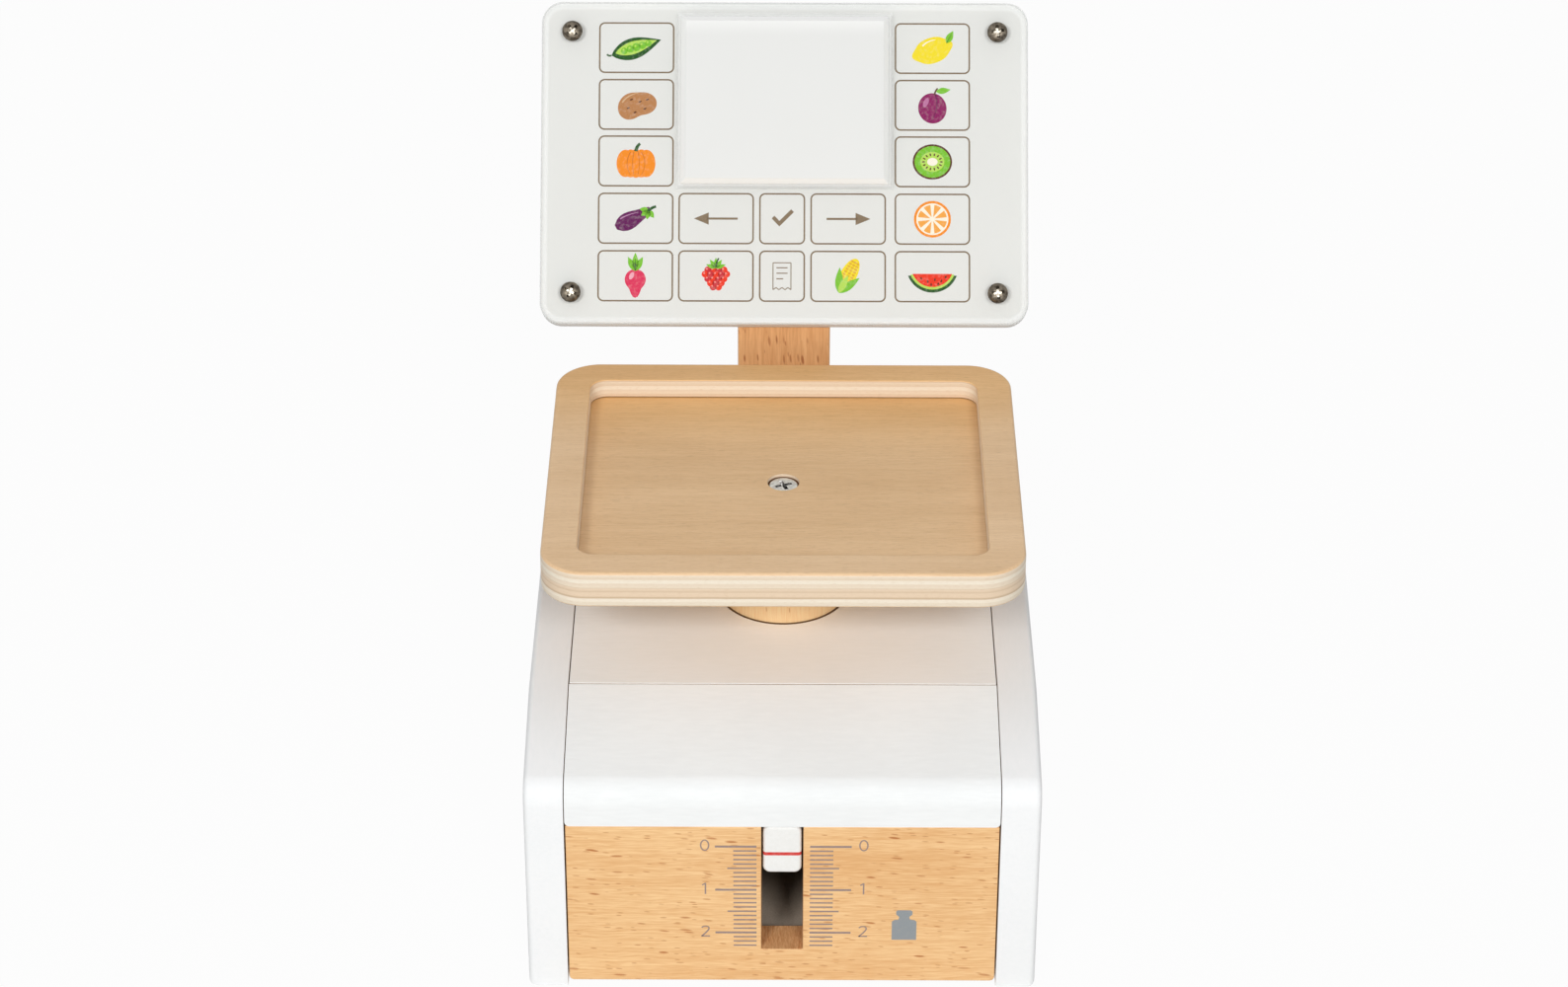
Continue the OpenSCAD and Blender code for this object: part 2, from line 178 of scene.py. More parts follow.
class Finish(Tree):
    """A material. Its lengths are millimetres on the piece."""

    def __init__(self, name, **constants):
        self.material = bpy.data.materials.new(name)
        self.material.use_nodes = True
        super().__init__(self.material.node_tree)
        self.shader = self.tree.nodes["Principled BSDF"]
        for key, value in constants.items():
            self.shader.inputs[key.replace("_", " ")].default_value = value
        place = self.add("ShaderNodeTexCoord", None, None, "Object")
        self.mm = self.add("ShaderNodeVectorMath", {"operation": "SCALE"}, {0: place, "Scale": 1000.0})

    def axes(self, vector=None):
        vector = vector or self.mm
        return [self.add("ShaderNodeSeparateXYZ", None, {0: vector}, i) for i in range(3)]

    def normal(self):
        return self.add("ShaderNodeTexCoord", None, None, "Normal")

    def noise(self, vector, scale=1.0, detail=2.0, roughness=0.5, distortion=0.0):
        return self.add("ShaderNodeTexNoise", None, {
            "Vector": vector, "Scale": scale, "Detail": detail, "Roughness": roughness, "Distortion": distortion})

    def cells(self, vector, out=0):
        return self.add("ShaderNodeTexVoronoi", None, {"Vector": vector, "Scale": 1.0}, out)

    def along(self, vector, way):
        return self.add("ShaderNodeVectorMath", {"operation": "DOT_PRODUCT"}, {0: vector, 1: way}, 1)

    def length(self, vector):
        return self.add("ShaderNodeVectorMath", {"operation": "LENGTH"}, {0: vector}, 1)

    def panel_axes(self):
        """A point's own x and y on the panel."""
        rise = panel_place.col[1].xyz
        return self.axes()[0], self.along(self.mm, rise) - panel_place.translation.dot(rise) / MM

    def panel_inset(self):
        """How far a point of the panel lies inside its rounded outline."""
        x, up = self.panel_axes()
        aside, above = ((way.size() - (side / 2 - PANEL_CORNER)).math("MAXIMUM", 0.0)
                        for way, side in ((x, PANEL_W), (up - PANEL_H / 2, PANEL_H)))
        return PANEL_CORNER - self.length(self.point(aside, above, 0.0))

    def mix(self, share, first, second, blend="MIX"):
        return self.add("ShaderNodeMix", {"data_type": "RGBA", "blend_type": blend},
                        {0: share, 6: first, 7: second}, 2)

    def feed(self, **sockets):
        for key, wire in sockets.items():
            self.tree.links.new(wire.socket, self.shader.inputs[key.replace("_", " ")])
        return self.material

    def bump(self, height, strength, distance):
        return self.add("ShaderNodeBump", None, {"Strength": strength, "Distance": distance, "Height": height})


def seen(red, green, blue):
    """A colour as it looks on screen, 0 to 255, in the shader's numbers."""
    parts = [value / 255 for value in (red, green, blue)]
    return (*[v / 12.92 if v <= 0.04045 else ((v + 0.055) / 1.055) ** 2.4 for v in parts], 1.0)


WHITE = (1, 1, 1, 1)


# Finishes

def beech(name, grain, pale, deep, fleck, share=0.16, sawn=None, shade_ring_at=None):
    """Oiled beech: soft bands, fine fibre and short slanted ray flecks.

    Sawn faces turn from the front. A ring of painted shade is dark at a height, for the shadow in the gap round a piece
    that stands in a hole."""
    f = Finish(name)
    axes = f.axes()
    order = {"x": (0, 2, 1), "y": (1, 0, 2), "z": (2, 0, 1)}[grain]
    along, across, inward = (axes[i] for i in order)
    drift = f.noise(f.point(along * 0.07, across * 0.12, inward * 0.12), 1.0, detail=1.0) * 1.6
    across = across + drift

    def stretched(length, width, slant=0.0):
        return f.point(along * (1 / length), (across + along * slant) * (1 / width), inward * (1 / width))

    def flecks(length, width, part):
        places = stretched(length, width, 0.07)
        chosen = f.add("ShaderNodeSeparateColor", None, {0: f.cells(places, 1)}, 0)
        reach = (chosen * 37.0).math("FRACT") * 0.12 + 0.2
        mark = 1 - (f.cells(places) / reach).between(0.55, 1.15)
        return mark * chosen.between(1 - part, 1.01 - part) * ((chosen * 91.0).math("FRACT") * 0.5 + 0.5)

    cloud = f.noise(stretched(80, 20), detail=1.0)
    bands = f.noise(stretched(140, 4.2), detail=2.0, distortion=0.3)
    lines = f.noise(stretched(20, 0.7), detail=2.0, roughness=0.6)
    fibre = f.noise(stretched(7, 0.42), detail=2.0, roughness=0.6)
    tone = (cloud * 0.18 + bands * 0.18 + lines * 0.24 + fibre * 0.4).between(0.34, 0.66)
    wood = f.mix(tone, pale, deep)
    large, small = flecks(7.0, 1.5, share), flecks(4.4, 0.9, share * 1.6)
    marks = large.math("MAXIMUM", small * 0.75)
    marked = f.mix(marks, wood, fleck)
    if sawn:
        rough_cut = f.noise(f.point(along * 2.0, across * 0.6, inward * 0.3), 1.0, detail=3.0, roughness=0.7)
        cut = f.mix(rough_cut.between(0.3, 0.7) * 0.8, sawn, fleck)
        marked = f.mix(1 - f.axes(f.normal())[1].size().between(0.4, 0.7), marked, cut)
    # Painted shade: a dark ring at one height, for the shadow in the gap where the piece passes through a hole.
    if shade_ring_at:
        ring = 1 - (axes[2] - shade_ring_at).size().between(0.2, 0.5)
        marked = f.mix(ring * 0.85, marked, seen(92, 60, 36))
    return f.feed(Base_Color=marked, Roughness=0.42 + fibre * 0.14 + marks * 0.08,
                  Normal=f.bump(lines * 0.5 + fibre * 0.4 - marks * 0.5, 0.2, 0.06 * MM))


def lacquer(name, clear, shaded, grain="x", bare=None, band=None, facing_shade=True):
    """White satin lacquer with a little of the board's grain in it.

    With facing shade it is a touch greyer where the board turns to the front, a painted shade set by which way a face
    looks.
    Bare wood shows on the faces that look at a neighbouring board. A band paints one line at a height."""
    f = Finish(name, Specular_IOR_Level=0.22)
    x, y, z = f.axes()
    facing = f.axes(f.normal())
    stretch = {"x": (0.16, 0.9, 0.9), "y": (0.9, 0.16, 0.9), "z": (0.9, 0.9, 0.16)}[grain]
    cloud = f.noise(f.mm, 0.022, detail=3.0)
    grains = f.noise(f.point(x * stretch[0], y * stretch[1], z * stretch[2]), 1.0, detail=3.0, roughness=0.6)
    peel = f.noise(f.mm, 1.1, detail=1.0)
    colour = f.mix((cloud * 0.6 + grains * 0.4).between(0.34, 0.66), clear, shaded)
    # Painted shade: greyer where a face turns towards the front, read off its normal.
    if facing_shade:
        turn = f.add("ShaderNodeValToRGB", {"stops": [(place, (grey, grey, grey, 1)) for place, grey in (
            (0.0, 0.98), (0.3, 0.95), (0.55, 0.93), (0.8, 0.95), (0.96, 0.985))]}, {0: facing[2]})
        colour = f.mix(1.0, colour, turn, "MULTIPLY")
    if bare:
        joint = {"ends": lambda: facing[0].size(), "inside": lambda: facing[0] * x.math("SIGN") * -1.0,
                 "edges": lambda: 1.3 - facing[2].size()}[bare]()
        wood = seen(150, 120, 90) if bare == "edges" else seen(198, 178, 152)
        colour = f.mix(joint.between(0.8, 0.95), colour, wood)
    if band:
        height, width, paint, back = band
        line = 1 - (z - height).size().between(width / 2 - 0.08, width / 2 + 0.08)
        line = line * (1 - y.between(back - 0.2, back + 0.2))
        colour = f.mix(line * (0.86 + peel * 0.2), colour, paint)
    return f.feed(Base_Color=colour, Roughness=0.42 + cloud * 0.14,
                  Normal=f.bump(peel * 0.5 + grains, 0.2, 0.07 * MM))


# The plies on the tray's edge: a share of its height and the colour there
PLIES = ((0.0, 222, 194, 160), (0.03, 222, 194, 160), (0.05, 236, 221, 198), (0.16, 239, 225, 203),
         (0.18, 246, 234, 215), (0.26, 246, 233, 213), (0.275, 206, 178, 146), (0.31, 216, 191, 160),
         (0.33, 234, 209, 180), (0.44, 236, 213, 186), (0.46, 222, 196, 164), (0.5, 230, 206, 177),
         (0.55, 237, 215, 189), (0.57, 224, 202, 174), (0.59, 239, 223, 200), (0.7, 237, 220, 197),
         (0.72, 247, 236, 217), (0.81, 245, 233, 213), (0.83, 232, 212, 186), (0.94, 240, 224, 202),
         (0.965, 222, 194, 160), (1.0, 222, 194, 160))


def plywood(name):
    """Birch plywood: veneer with its grain across the tray, layered plies on the edges and dark glue joints.

    The joints' groove, the screw's counterbore and the back of the tray also carry painted shade.
    """
    f = Finish(name)
    low, floor = tray_low / MM, tray_floor / MM
    x, y, z = f.axes()
    cloud = f.noise(f.point(x * 0.012, y * 0.04, z * 0.04), 1.0, detail=2.0)
    streaks = f.noise(f.point(x * 0.014, y * 0.3, z * 0.3), 1.0, detail=3.0, distortion=0.4)
    fibre = f.noise(f.point(x * 0.13, y * 2.2, z * 2.2), 1.0, detail=4.0, roughness=0.65)
    tone = (cloud * 0.4 + streaks * 0.22 + fibre * 0.38).between(0.3, 0.7)
    veneer = f.mix(tone, seen(243, 209, 168), seen(225, 187, 142))
    pores = 1 - f.noise(f.point(x * 0.35, y * 5.0, z * 5.0), 1.0, detail=1.0).between(0.3, 0.42)
    veneer = f.mix(pores * 0.2, veneer, seen(150, 108, 70))
    # Painted warm shade towards the back of the tray, for the panel's shadow and the warm light thrown back by the
    # wood.
    veneer = f.mix(y.between(-12.0, 34.0) * 0.9, veneer, seen(255, 241, 212), "MULTIPLY")
    veneer = f.mix(1 - z.between(floor + 1, floor + 3), veneer, seen(251, 247, 239), "MULTIPLY")
    wave = f.noise(f.point(x * 0.05, y * 0.05, z * 0.12), 1.0, detail=2.0) * 0.7 - 0.35
    level = (z + wave * 0.5 - low) / ((tray_high - tray_low) / MM)
    plies = f.add("ShaderNodeValToRGB", {"stops": [(share, seen(*colour)) for share, *colour in PLIES]}, {0: level})
    fuzz = f.noise(f.point(x * 0.5, y * 0.5, z * 3.5), 1.0, detail=2.0, roughness=0.7)
    plies = f.mix(fuzz.between(0.45, 0.8) * 0.3, plies, seen(206, 172, 134))
    plies = f.mix(1.0, plies, seen(250, 250, 250), "MULTIPLY")
    facing = f.axes(f.normal())[2]
    colour = f.mix((1 - facing.size()).between(0.42, 0.72), veneer, plies)
    # Dark glue line, deepened by painted shade, on the downward faces in the groove at the foot of the rim.
    joint = (facing * -1.0).between(0.1, 0.5) * z.between(low + 1, low + 2)
    # Painted shadow on the upright wall of the screw's counterbore.
    far = f.length(f.point(x, y - column_y / MM, 0.0))
    hole = (1 - far.between(5.1, 5.3)) * (1 - z.between(floor - 1.1, floor - 0.9))
    colour = f.mix(joint.math("MAXIMUM", hole), colour, seen(112, 76, 48))
    return f.feed(Base_Color=colour, Roughness=0.42 + fibre * 0.16,
                  Normal=f.bump(fibre * 0.5 + fuzz * 0.3, 0.2, 0.05 * MM))


def steel(name, bright, dull, low, high, glint=None):
    """Plated steel with fine turning marks and a few smudges.

    A glint is a direction whose faces get a painted highlight, while the others stay dull, in painted shade."""
    f = Finish(name, Metallic=1.0)
    x, y, z = f.axes()
    smudge = f.noise(f.mm, 0.9, detail=3.0)
    marks = f.noise(f.point(x * 2, y * 2, z * 14), 1.0, detail=2.0)
    share = smudge.between(0.3, 0.7)
    # Painted highlight on faces that look along the glint, painted shade on the rest.
    if glint:
        lit = f.along(f.normal(), glint).between(0.4, 0.95)
        share = 1 - lit * (f.noise(f.mm, 1.3, detail=1.0).between(0.38, 0.56) * 0.8 + 0.2)
    return f.feed(Base_Color=f.mix(share, bright, dull),
                  Roughness=low + smudge * (high - low) + marks * 0.06,
                  Normal=f.bump(marks, 0.12, 0.01 * MM))


def clear_acrylic(name):
    """Clear acrylic: almost unseen on its face, milky along its rim and where it is cut.

    A pale band round the display is painted light that veils the display's shadow on the sheet beneath.
    """
    f = Finish(name, IOR=1.49)
    inset = f.panel_inset()
    rim, cut = 1 - inset.between(1.6, 2.4), 1 - inset.between(0.15, 0.6)
    haze = f.noise(f.mm, 0.05, detail=2.0)
    x, up = f.panel_axes()
    beside = x.size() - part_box("display_plate")[1].x / MM
    above = (up - (DISPLAY_LOW + DISPLAY_HIGH) / 2).size() - (DISPLAY_HIGH - DISPLAY_LOW) / 2
    # Painted light: a pale band round the display, veiling the shadow the display casts on the sheet.
    shadow_veil = 1 - beside.math("MAXIMUM", above).between(0.2, 1.7)
    clear = f.mix(haze, seen(247, 249, 248), seen(240, 242, 241))
    f.material.surface_render_method = "BLENDED"
    return f.feed(Base_Color=f.mix(shadow_veil, clear, seen(247, 248, 246)),
                  Alpha=0.004 + haze * 0.008 + rim * 0.06 + cut * 0.34 + shadow_veil * 0.6, Roughness=0.12 + haze * 0.1)


def satin_plastic(name, clear, shaded, edge, upper):
    """Moulded satin plastic with a very fine grain.

    Its bevels are painted paler to lift their shade, and the one that faces up and a band along the top of the face
    carry a painted highlight."""
    f = Finish(name)
    cloud = f.noise(f.mm, 0.03, detail=2.0)
    spark = f.noise(f.mm, 3.2, detail=1.0)
    facing = f.along(f.normal(), PANEL_OUT)
    # Painted light on the bevels: paler than the face, palest on the one that faces up.
    bevel = f.mix(f.axes(f.normal())[2].between(0.8, 0.95), edge, upper)
    face = f.mix(cloud, clear, shaded)
    # Painted highlight: a band along the top of the face, paler towards the top bevel.
    face = f.mix(f.panel_axes()[1].between(DISPLAY_HIGH - 7, DISPLAY_HIGH - 1) * 0.6, face, edge)
    colour = f.mix(1 - facing.between(0.72, 0.97), face, bevel)
    return f.feed(Base_Color=colour, Roughness=0.34 + cloud * 0.12, Normal=f.bump(spark, 0.1, 0.02 * MM))


def fibreboard(name):
    """Bare thin fibreboard, mottled, with painted light near the slot and painted shade deeper inside."""
    f = Finish(name)
    fluff = f.noise(f.mm, 1.6, detail=4.0, roughness=0.65)
    cloud = f.noise(f.mm, 0.05, detail=2.0)
    tone = (fluff * 0.6 + cloud * 0.4).between(0.3, 0.7)
    # Painted light near the slot, fading to painted shade further in.
    lit_near_slot = f.mix(tone, seen(222, 206, 188), seen(200, 182, 162))
    dull = f.mix(tone, seen(112, 92, 74), seen(90, 72, 56))
    inward = f.axes()[1].between(front_y / MM + 22, front_y / MM + 58)
    return f.feed(Base_Color=f.mix(inward, lit_near_slot, dull), Roughness=0.55 + fluff * 0.2,
                  Normal=f.bump(fluff, 0.2, 0.05 * MM))


def paper(name, clear, shaded, rim_light):
    """Coated white paper, painted paler along the panel's outline as painted light under the acrylic's milky rim."""
    f = Finish(name, Specular_IOR_Level=0.2)
    pulp = f.noise(f.mm, 2.4, detail=3.0)
    cloud = f.noise(f.mm, 0.02, detail=2.0)
    # Painted light: a paler band along the panel's outline, under the acrylic's milky rim.
    colour = f.mix(f.panel_inset().between(1.7, 2.6), rim_light, f.mix(pulp * 0.3 + cloud * 0.7, clear, shaded))
    return f.feed(Base_Color=colour, Roughness=0.5 + pulp * 0.15)


def ink(name, colour, thin):
    """Screen printing, thinner in places. A colour of None takes the piece's own ink colours."""
    f = Finish(name, Specular_IOR_Level=0.06)
    if colour is None:
        colour = f.add("ShaderNodeAttribute", {"attribute_name": "ink"}, None, "Color")
        pale = f.mix(thin, colour, seen(255, 250, 240))
    else:
        pale = f.mix(0.25, colour, thin)
    dabs = f.noise(f.mm, 0.9, detail=3.0, roughness=0.6)
    return f.feed(Base_Color=f.mix(dabs.between(0.46, 0.72), colour, pale), Roughness=0.45 + dabs * 0.12)


RED_LINE_HEIGHT, RED_LINE_WIDTH, RED_LINE_REACH = 49.7, 1.2, 3
INNER_TONES = seen(232, 188, 134), seen(212, 160, 106), seen(166, 104, 58)
FRONT_BEECH = beech("front_beech", "x", seen(251, 210, 155), seen(227, 173, 114), seen(188, 119, 63), 0.24,
                    sawn=seen(232, 185, 133))
POST_BEECH = beech("post_beech", "z", seen(235, 182, 128), seen(209, 151, 98), seen(160, 95, 52), 0.24)
# The column's ring of painted shade lies at the top plate's face, where the gap round it is in shadow.
COLUMN_BEECH = beech("column_beech", "z", seen(255, 224, 174), seen(248, 203, 148), seen(196, 128, 72),
                     shade_ring_at=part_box("top_plate")[1].z / MM - 0.1)
INNER_BEECH = beech("inner_beech", "y", *INNER_TONES)
CROSS_BEECH = beech("cross_beech", "x", *INNER_TONES)
PLYWOOD = plywood("tray_plywood")
FLOOR_BOARD = fibreboard("floor_board")
SIDE_WHITE = lacquer("side_white", seen(252, 253, 254), seen(247, 249, 250), "y", "inside")
BOARD_WHITE = lacquer("board_white", seen(250, 252, 252), seen(244, 246, 246), "x", "ends")
TOP_WHITE = lacquer("top_white", seen(253, 253, 252), seen(248, 248, 246), "x", "edges")
PANEL_WHITE = lacquer("panel_white", seen(251, 251, 251), seen(247, 248, 248), "x", facing_shade=False)
POINTER_WHITE = lacquer("pointer_white", seen(248, 248, 246), seen(241, 241, 238), "y",
                        band=(RED_LINE_HEIGHT, RED_LINE_WIDTH, seen(214, 54, 48),
                              (pointer_front + RED_LINE_REACH * MM) / MM))
BRIGHT_STEEL = steel("bright_steel", seen(226, 225, 220), seen(196, 194, 188), 0.24, 0.42)
DARK_STEEL = steel("dark_steel", seen(124, 115, 102), seen(70, 64, 56), 0.28, 0.5)
# The cross recesses carry a painted glint on the faces that look one way, and painted shade on the others.
RECESS_STEEL = steel("recess_steel", seen(232, 223, 206), seen(74, 68, 60), 0.24, 0.46, (0.5, -0.75, 0.43))
DARK_RECESS = steel("dark_recess", seen(250, 248, 244), seen(60, 56, 52), 0.3, 0.5, (0.8, -0.6, 0.0))
ACRYLIC = clear_acrylic("clear_acrylic")
DISPLAY_WHITE = satin_plastic("display_white", seen(227, 228, 226), seen(223, 224, 222), seen(243, 244, 242),
                              seen(255, 255, 254))
SHEET_WHITE = paper("sheet_white", seen(230, 231, 228), seen(223, 224, 220), seen(239, 240, 238))
SCALE_INK = ink("scale_ink", seen(158, 140, 134), seen(206, 168, 132))
WEIGHT_INK = ink("weight_ink", seen(150, 156, 160), seen(172, 169, 164))
KEY_INK = ink("key_ink", seen(134, 116, 93), seen(164, 148, 126))
PICTURE_INK = ink("picture_ink", None, 0.12)


# Pieces

def add_piece(name, mesh, body, finishes=(), stands_for=()):
    piece = bpy.data.objects.new(name, mesh)
    scene.collection.objects.link(piece)
    for finish in finishes:
        mesh.materials.append(finish)
    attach(piece, body)
    if stands_for:
        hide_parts(*stands_for)
    return piece


def plain_mesh(piece):
    """The piece's mesh with its modifiers in it. The helper object goes."""
    graph = bpy.context.evaluated_depsgraph_get()
    mesh = bpy.data.meshes.new_from_object(piece.evaluated_get(graph), preserve_all_data_layers=True, depsgraph=graph)
    bpy.data.objects.remove(piece)
    return mesh


SAME_PLANE = 0.99999
FLAT_ANGLE, SHARP_ANGLE = math.radians(0.5), math.radians(34)


def evenly_shaded(mesh, angle=35):
    """The mesh with smooth shading that leaves its flat faces flat."""
    shape = bmesh.new()
    shape.from_mesh(mesh)
    shape.faces.ensure_lookup_table()
    weight = [0.0] * len(shape.faces)
    for face in shape.faces:
        if weight[face.index]:
            continue
        flat, waiting = {face.index}, [face]
        while waiting:
            here = waiting.pop()
            for other in (f for e in here.edges for f in e.link_faces):
                if other.index not in flat and other.normal.dot(face.normal) > SAME_PLANE:
                    flat.add(other.index)
                    waiting.append(other)
        area = sum(shape.faces[i].calc_area() for i in flat)
        for i in flat:
            weight[i] = area
    limit = math.cos(math.radians(angle))
    normals = []
    for face in shape.faces:
        for corner in face.verts:
            near = (f for f in corner.link_faces if f.normal.dot(face.normal) > limit)
            normals.append(sum((f.normal * weight[f.index] for f in near), Vector()).normalized())
    shape.free()
    mesh.shade_smooth()
    mesh.normals_split_custom_set(normals)
    return mesh


def eased(node, *passes, place=Matrix(), steps=3):
    """A copy of a solid's mesh with its sharp edges rounded, as sanding leaves them.

    Each pass is a radius and a choice of edges by their middle in place's frame, or None for all sharp ones."""
    shape = bmesh.new()
    corners = [shape.verts.new([round(c, 7) for c in place.inverted() @ v.co]) for v in cad[node].data.vertices]
    for face in cad[node].data.polygons:
        shape.faces.new([corners[i] for i in face.vertices])
    bmesh.ops.remove_doubles(shape, verts=shape.verts, dist=1e-6)
    bmesh.ops.dissolve_limit(shape, angle_limit=FLAT_ANGLE, verts=shape.verts, edges=shape.edges)
    for radius, chosen in passes:
        sharp = [e for e in shape.edges if len(e.link_faces) == 2 and e.calc_face_angle(0) > SHARP_ANGLE
                 and (chosen is None or chosen((e.verts[0].co + e.verts[1].co) / 2))]
        bmesh.ops.bevel(shape, geom=sharp, offset=radius * MM, offset_type="OFFSET", segments=steps, profile=0.5,
                        affect="EDGES", clamp_overlap=True)
    mesh = bpy.data.meshes.new(node + "_eased")
    shape.to_mesh(mesh)
    shape.free()
    mesh.transform(place)
    return evenly_shaded(mesh)


def redraw(name, node, finish, body, slot, *passes, **ways):
    """A piece that stands for one solid, with its edges eased."""
    add_piece(name, eased(node, *passes, **ways), body, [finish], [node])


def dress(node, finish):
    cad[node].data.materials.clear()
    cad[node].data.materials.append(finish)


def add_housing():
    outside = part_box("right_side")[1].x - TOUCH
    for node in ("left_side", "right_side"):
        redraw("painted_" + node, node, SIDE_WHITE, "base", "white_lacquer",
               (1.8, lambda p: abs(p.x) > outside), (0.15, None), steps=4)
    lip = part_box("hood")[0].z + TOUCH
    redraw("painted_hood", "hood", BOARD_WHITE, "base", "white_lacquer", (0.8, lambda p: p.z < lip), (0.12, None))
    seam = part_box("top_plate")[0].y + TOUCH
    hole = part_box("column")[1].x + 3 * MM
    redraw("painted_top_plate", "top_plate", TOP_WHITE, "base", "white_lacquer",
           (0.3, lambda p: p.y < seam), (0.3, lambda p: math.hypot(p.x, p.y - column_y) > hole))
    redraw("painted_rear_hood", "rear_hood", BOARD_WHITE, "base", "white_lacquer", (0.5, None))
    redraw("painted_back_panel", "back_panel", BOARD_WHITE, "base", "white_lacquer",
           (0.5, lambda p: abs(p.x) > 20 * MM))
    redraw("beech_front", "front_panel", FRONT_BEECH, "base", "beech", (0.35, None))
    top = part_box("panel_board")[0].z - 1 * MM
    redraw("beech_post", "post", POST_BEECH, "base", "beech", (0.8, lambda p: p.z < top and abs(p.x) > 10 * MM))
    for node, finish in [("bottom_plate", FLOOR_BOARD), ("left_cleat", INNER_BEECH), ("right_cleat", INNER_BEECH),
                         ("bottom_screws", BRIGHT_STEEL), ("spring_dowel", COLUMN_BEECH),
                         ("post_screws", BRIGHT_STEEL), ("board_screws", BRIGHT_STEEL)]:
        dress(node, finish)


def add_platform():
    rim, holes = 9 * MM, 30 * MM
    top = tray_high - TOUCH
    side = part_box("pan_frame")[1].x - rim
    middle = middle_y("pan_frame")
    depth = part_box("pan_frame")[1].y - middle - rim
    redraw("tray_rim", "pan_frame", PLYWOOD, "platform", "plywood",
           (1.2, lambda p: p.z > top and (abs(p.x) > side or abs(p.y - middle) > depth)),
           (0.5, lambda p: p.z > top or abs(p.x) < side and abs(p.y - middle) < depth), steps=4)
    redraw("tray_bottom", "pan_base", PLYWOOD, "platform", "plywood",
           (1.0, lambda p: p.z < tray_low + TOUCH and abs(p.y - middle) + abs(p.x) > holes), steps=4)
    dress("column", COLUMN_BEECH)
    redraw("pointer_bar", "pointer", POINTER_WHITE, "platform", "white_lacquer",
           (1.0, lambda p: p.y < pointer_front + TOUCH), steps=4)
    for node in ("pan_dowels", "pointer_pin"):
        dress(node, COLUMN_BEECH)
    dress("stop_pin", CROSS_BEECH)


def on_rim(p):
    reach = PANEL_CORNER + 0.2
    return abs(p.x) > (PANEL_W / 2 - reach) * MM or not reach * MM < p.y < (PANEL_H - reach) * MM


def add_panel():
    redraw("panel_backing", "panel_board", PANEL_WHITE, "base", "white_lacquer",
           (1.2, lambda p: p.z < TOUCH and on_rim(p)), place=panel_place, steps=4)
    cover = eased("acrylic_cover", (1.8, lambda p: p.z > (COVER_FACE - 0.1) * MM and on_rim(p)),
                  place=panel_place, steps=4)
    outward = panel_place.col[2].xyz
    for v in cover.vertices:
        if (v.co - panel_place.translation).dot(outward) < (SHEET_FACE + 0.1) * MM:
            v.co += outward * INK_GAP * MM
    add_piece("panel_cover", cover, "base", [ACRYLIC], ["acrylic_cover"])
    redraw("display", "display_plate", DISPLAY_WHITE, "base", "white_plastic", (0.3, None), place=panel_place)
    dress("keypad_sheet", SHEET_WHITE)


# Patterns: geometry node trees for what repeats

class Pattern(Tree):
    """A geometry node tree with named inputs, run on a mesh to make a plain mesh."""

    def __init__(self, name, **inputs):
        super().__init__(bpy.data.node_groups.new(name, "GeometryNodeTree"))
        face = self.tree.interface
        face.new_socket("Geometry", in_out="INPUT", socket_type="NodeSocketGeometry")
        for key, kind in inputs.items():
            face.new_socket(key, in_out="INPUT", socket_type="NodeSocket" + kind)
        face.new_socket("Geometry", in_out="OUTPUT", socket_type="NodeSocketGeometry")
        self.given = self.tree.nodes.new("NodeGroupInput")

    def __getitem__(self, name):
        return Wire(self, self.given.outputs[name])

    def end(self, geometry, *finishes):
        """Realizes the instances. The first finish is for all faces, a second one for those marked as recess."""
        geometry = self.add("GeometryNodeRealizeInstances", None, {0: geometry})
        geometry = self.add("GeometryNodeSetMaterial", None, {"Geometry": geometry, "Material": finishes[0]})
        for finish in finishes[1:]:
            recess = self.add("GeometryNodeInputNamedAttribute", {"data_type": "BOOLEAN"}, {"Name": "recess"})
            geometry = self.add("GeometryNodeSetMaterial", None,
                                {"Geometry": geometry, "Selection": recess, "Material": finish})
        self.tree.links.new(geometry.socket, self.tree.nodes.new("NodeGroupOutput").inputs[0])
        return self

    def run(self, mesh, **values):
        helper = bpy.data.objects.new("helper", mesh)
        modifier = helper.modifiers.new("pattern", "NODES")
        modifier.node_group = self.tree
        for item in self.tree.interface.items_tree:
            if item.in_out == "INPUT" and item.name in values:
                modifier[item.identifier] = values[item.name]
        scene.collection.objects.link(helper)
        return plain_mesh(helper)


def points_mesh(points):
    mesh = bpy.data.meshes.new("places")
    mesh.from_pydata([[c * MM for c in p] for p in points], [], [])
    return mesh


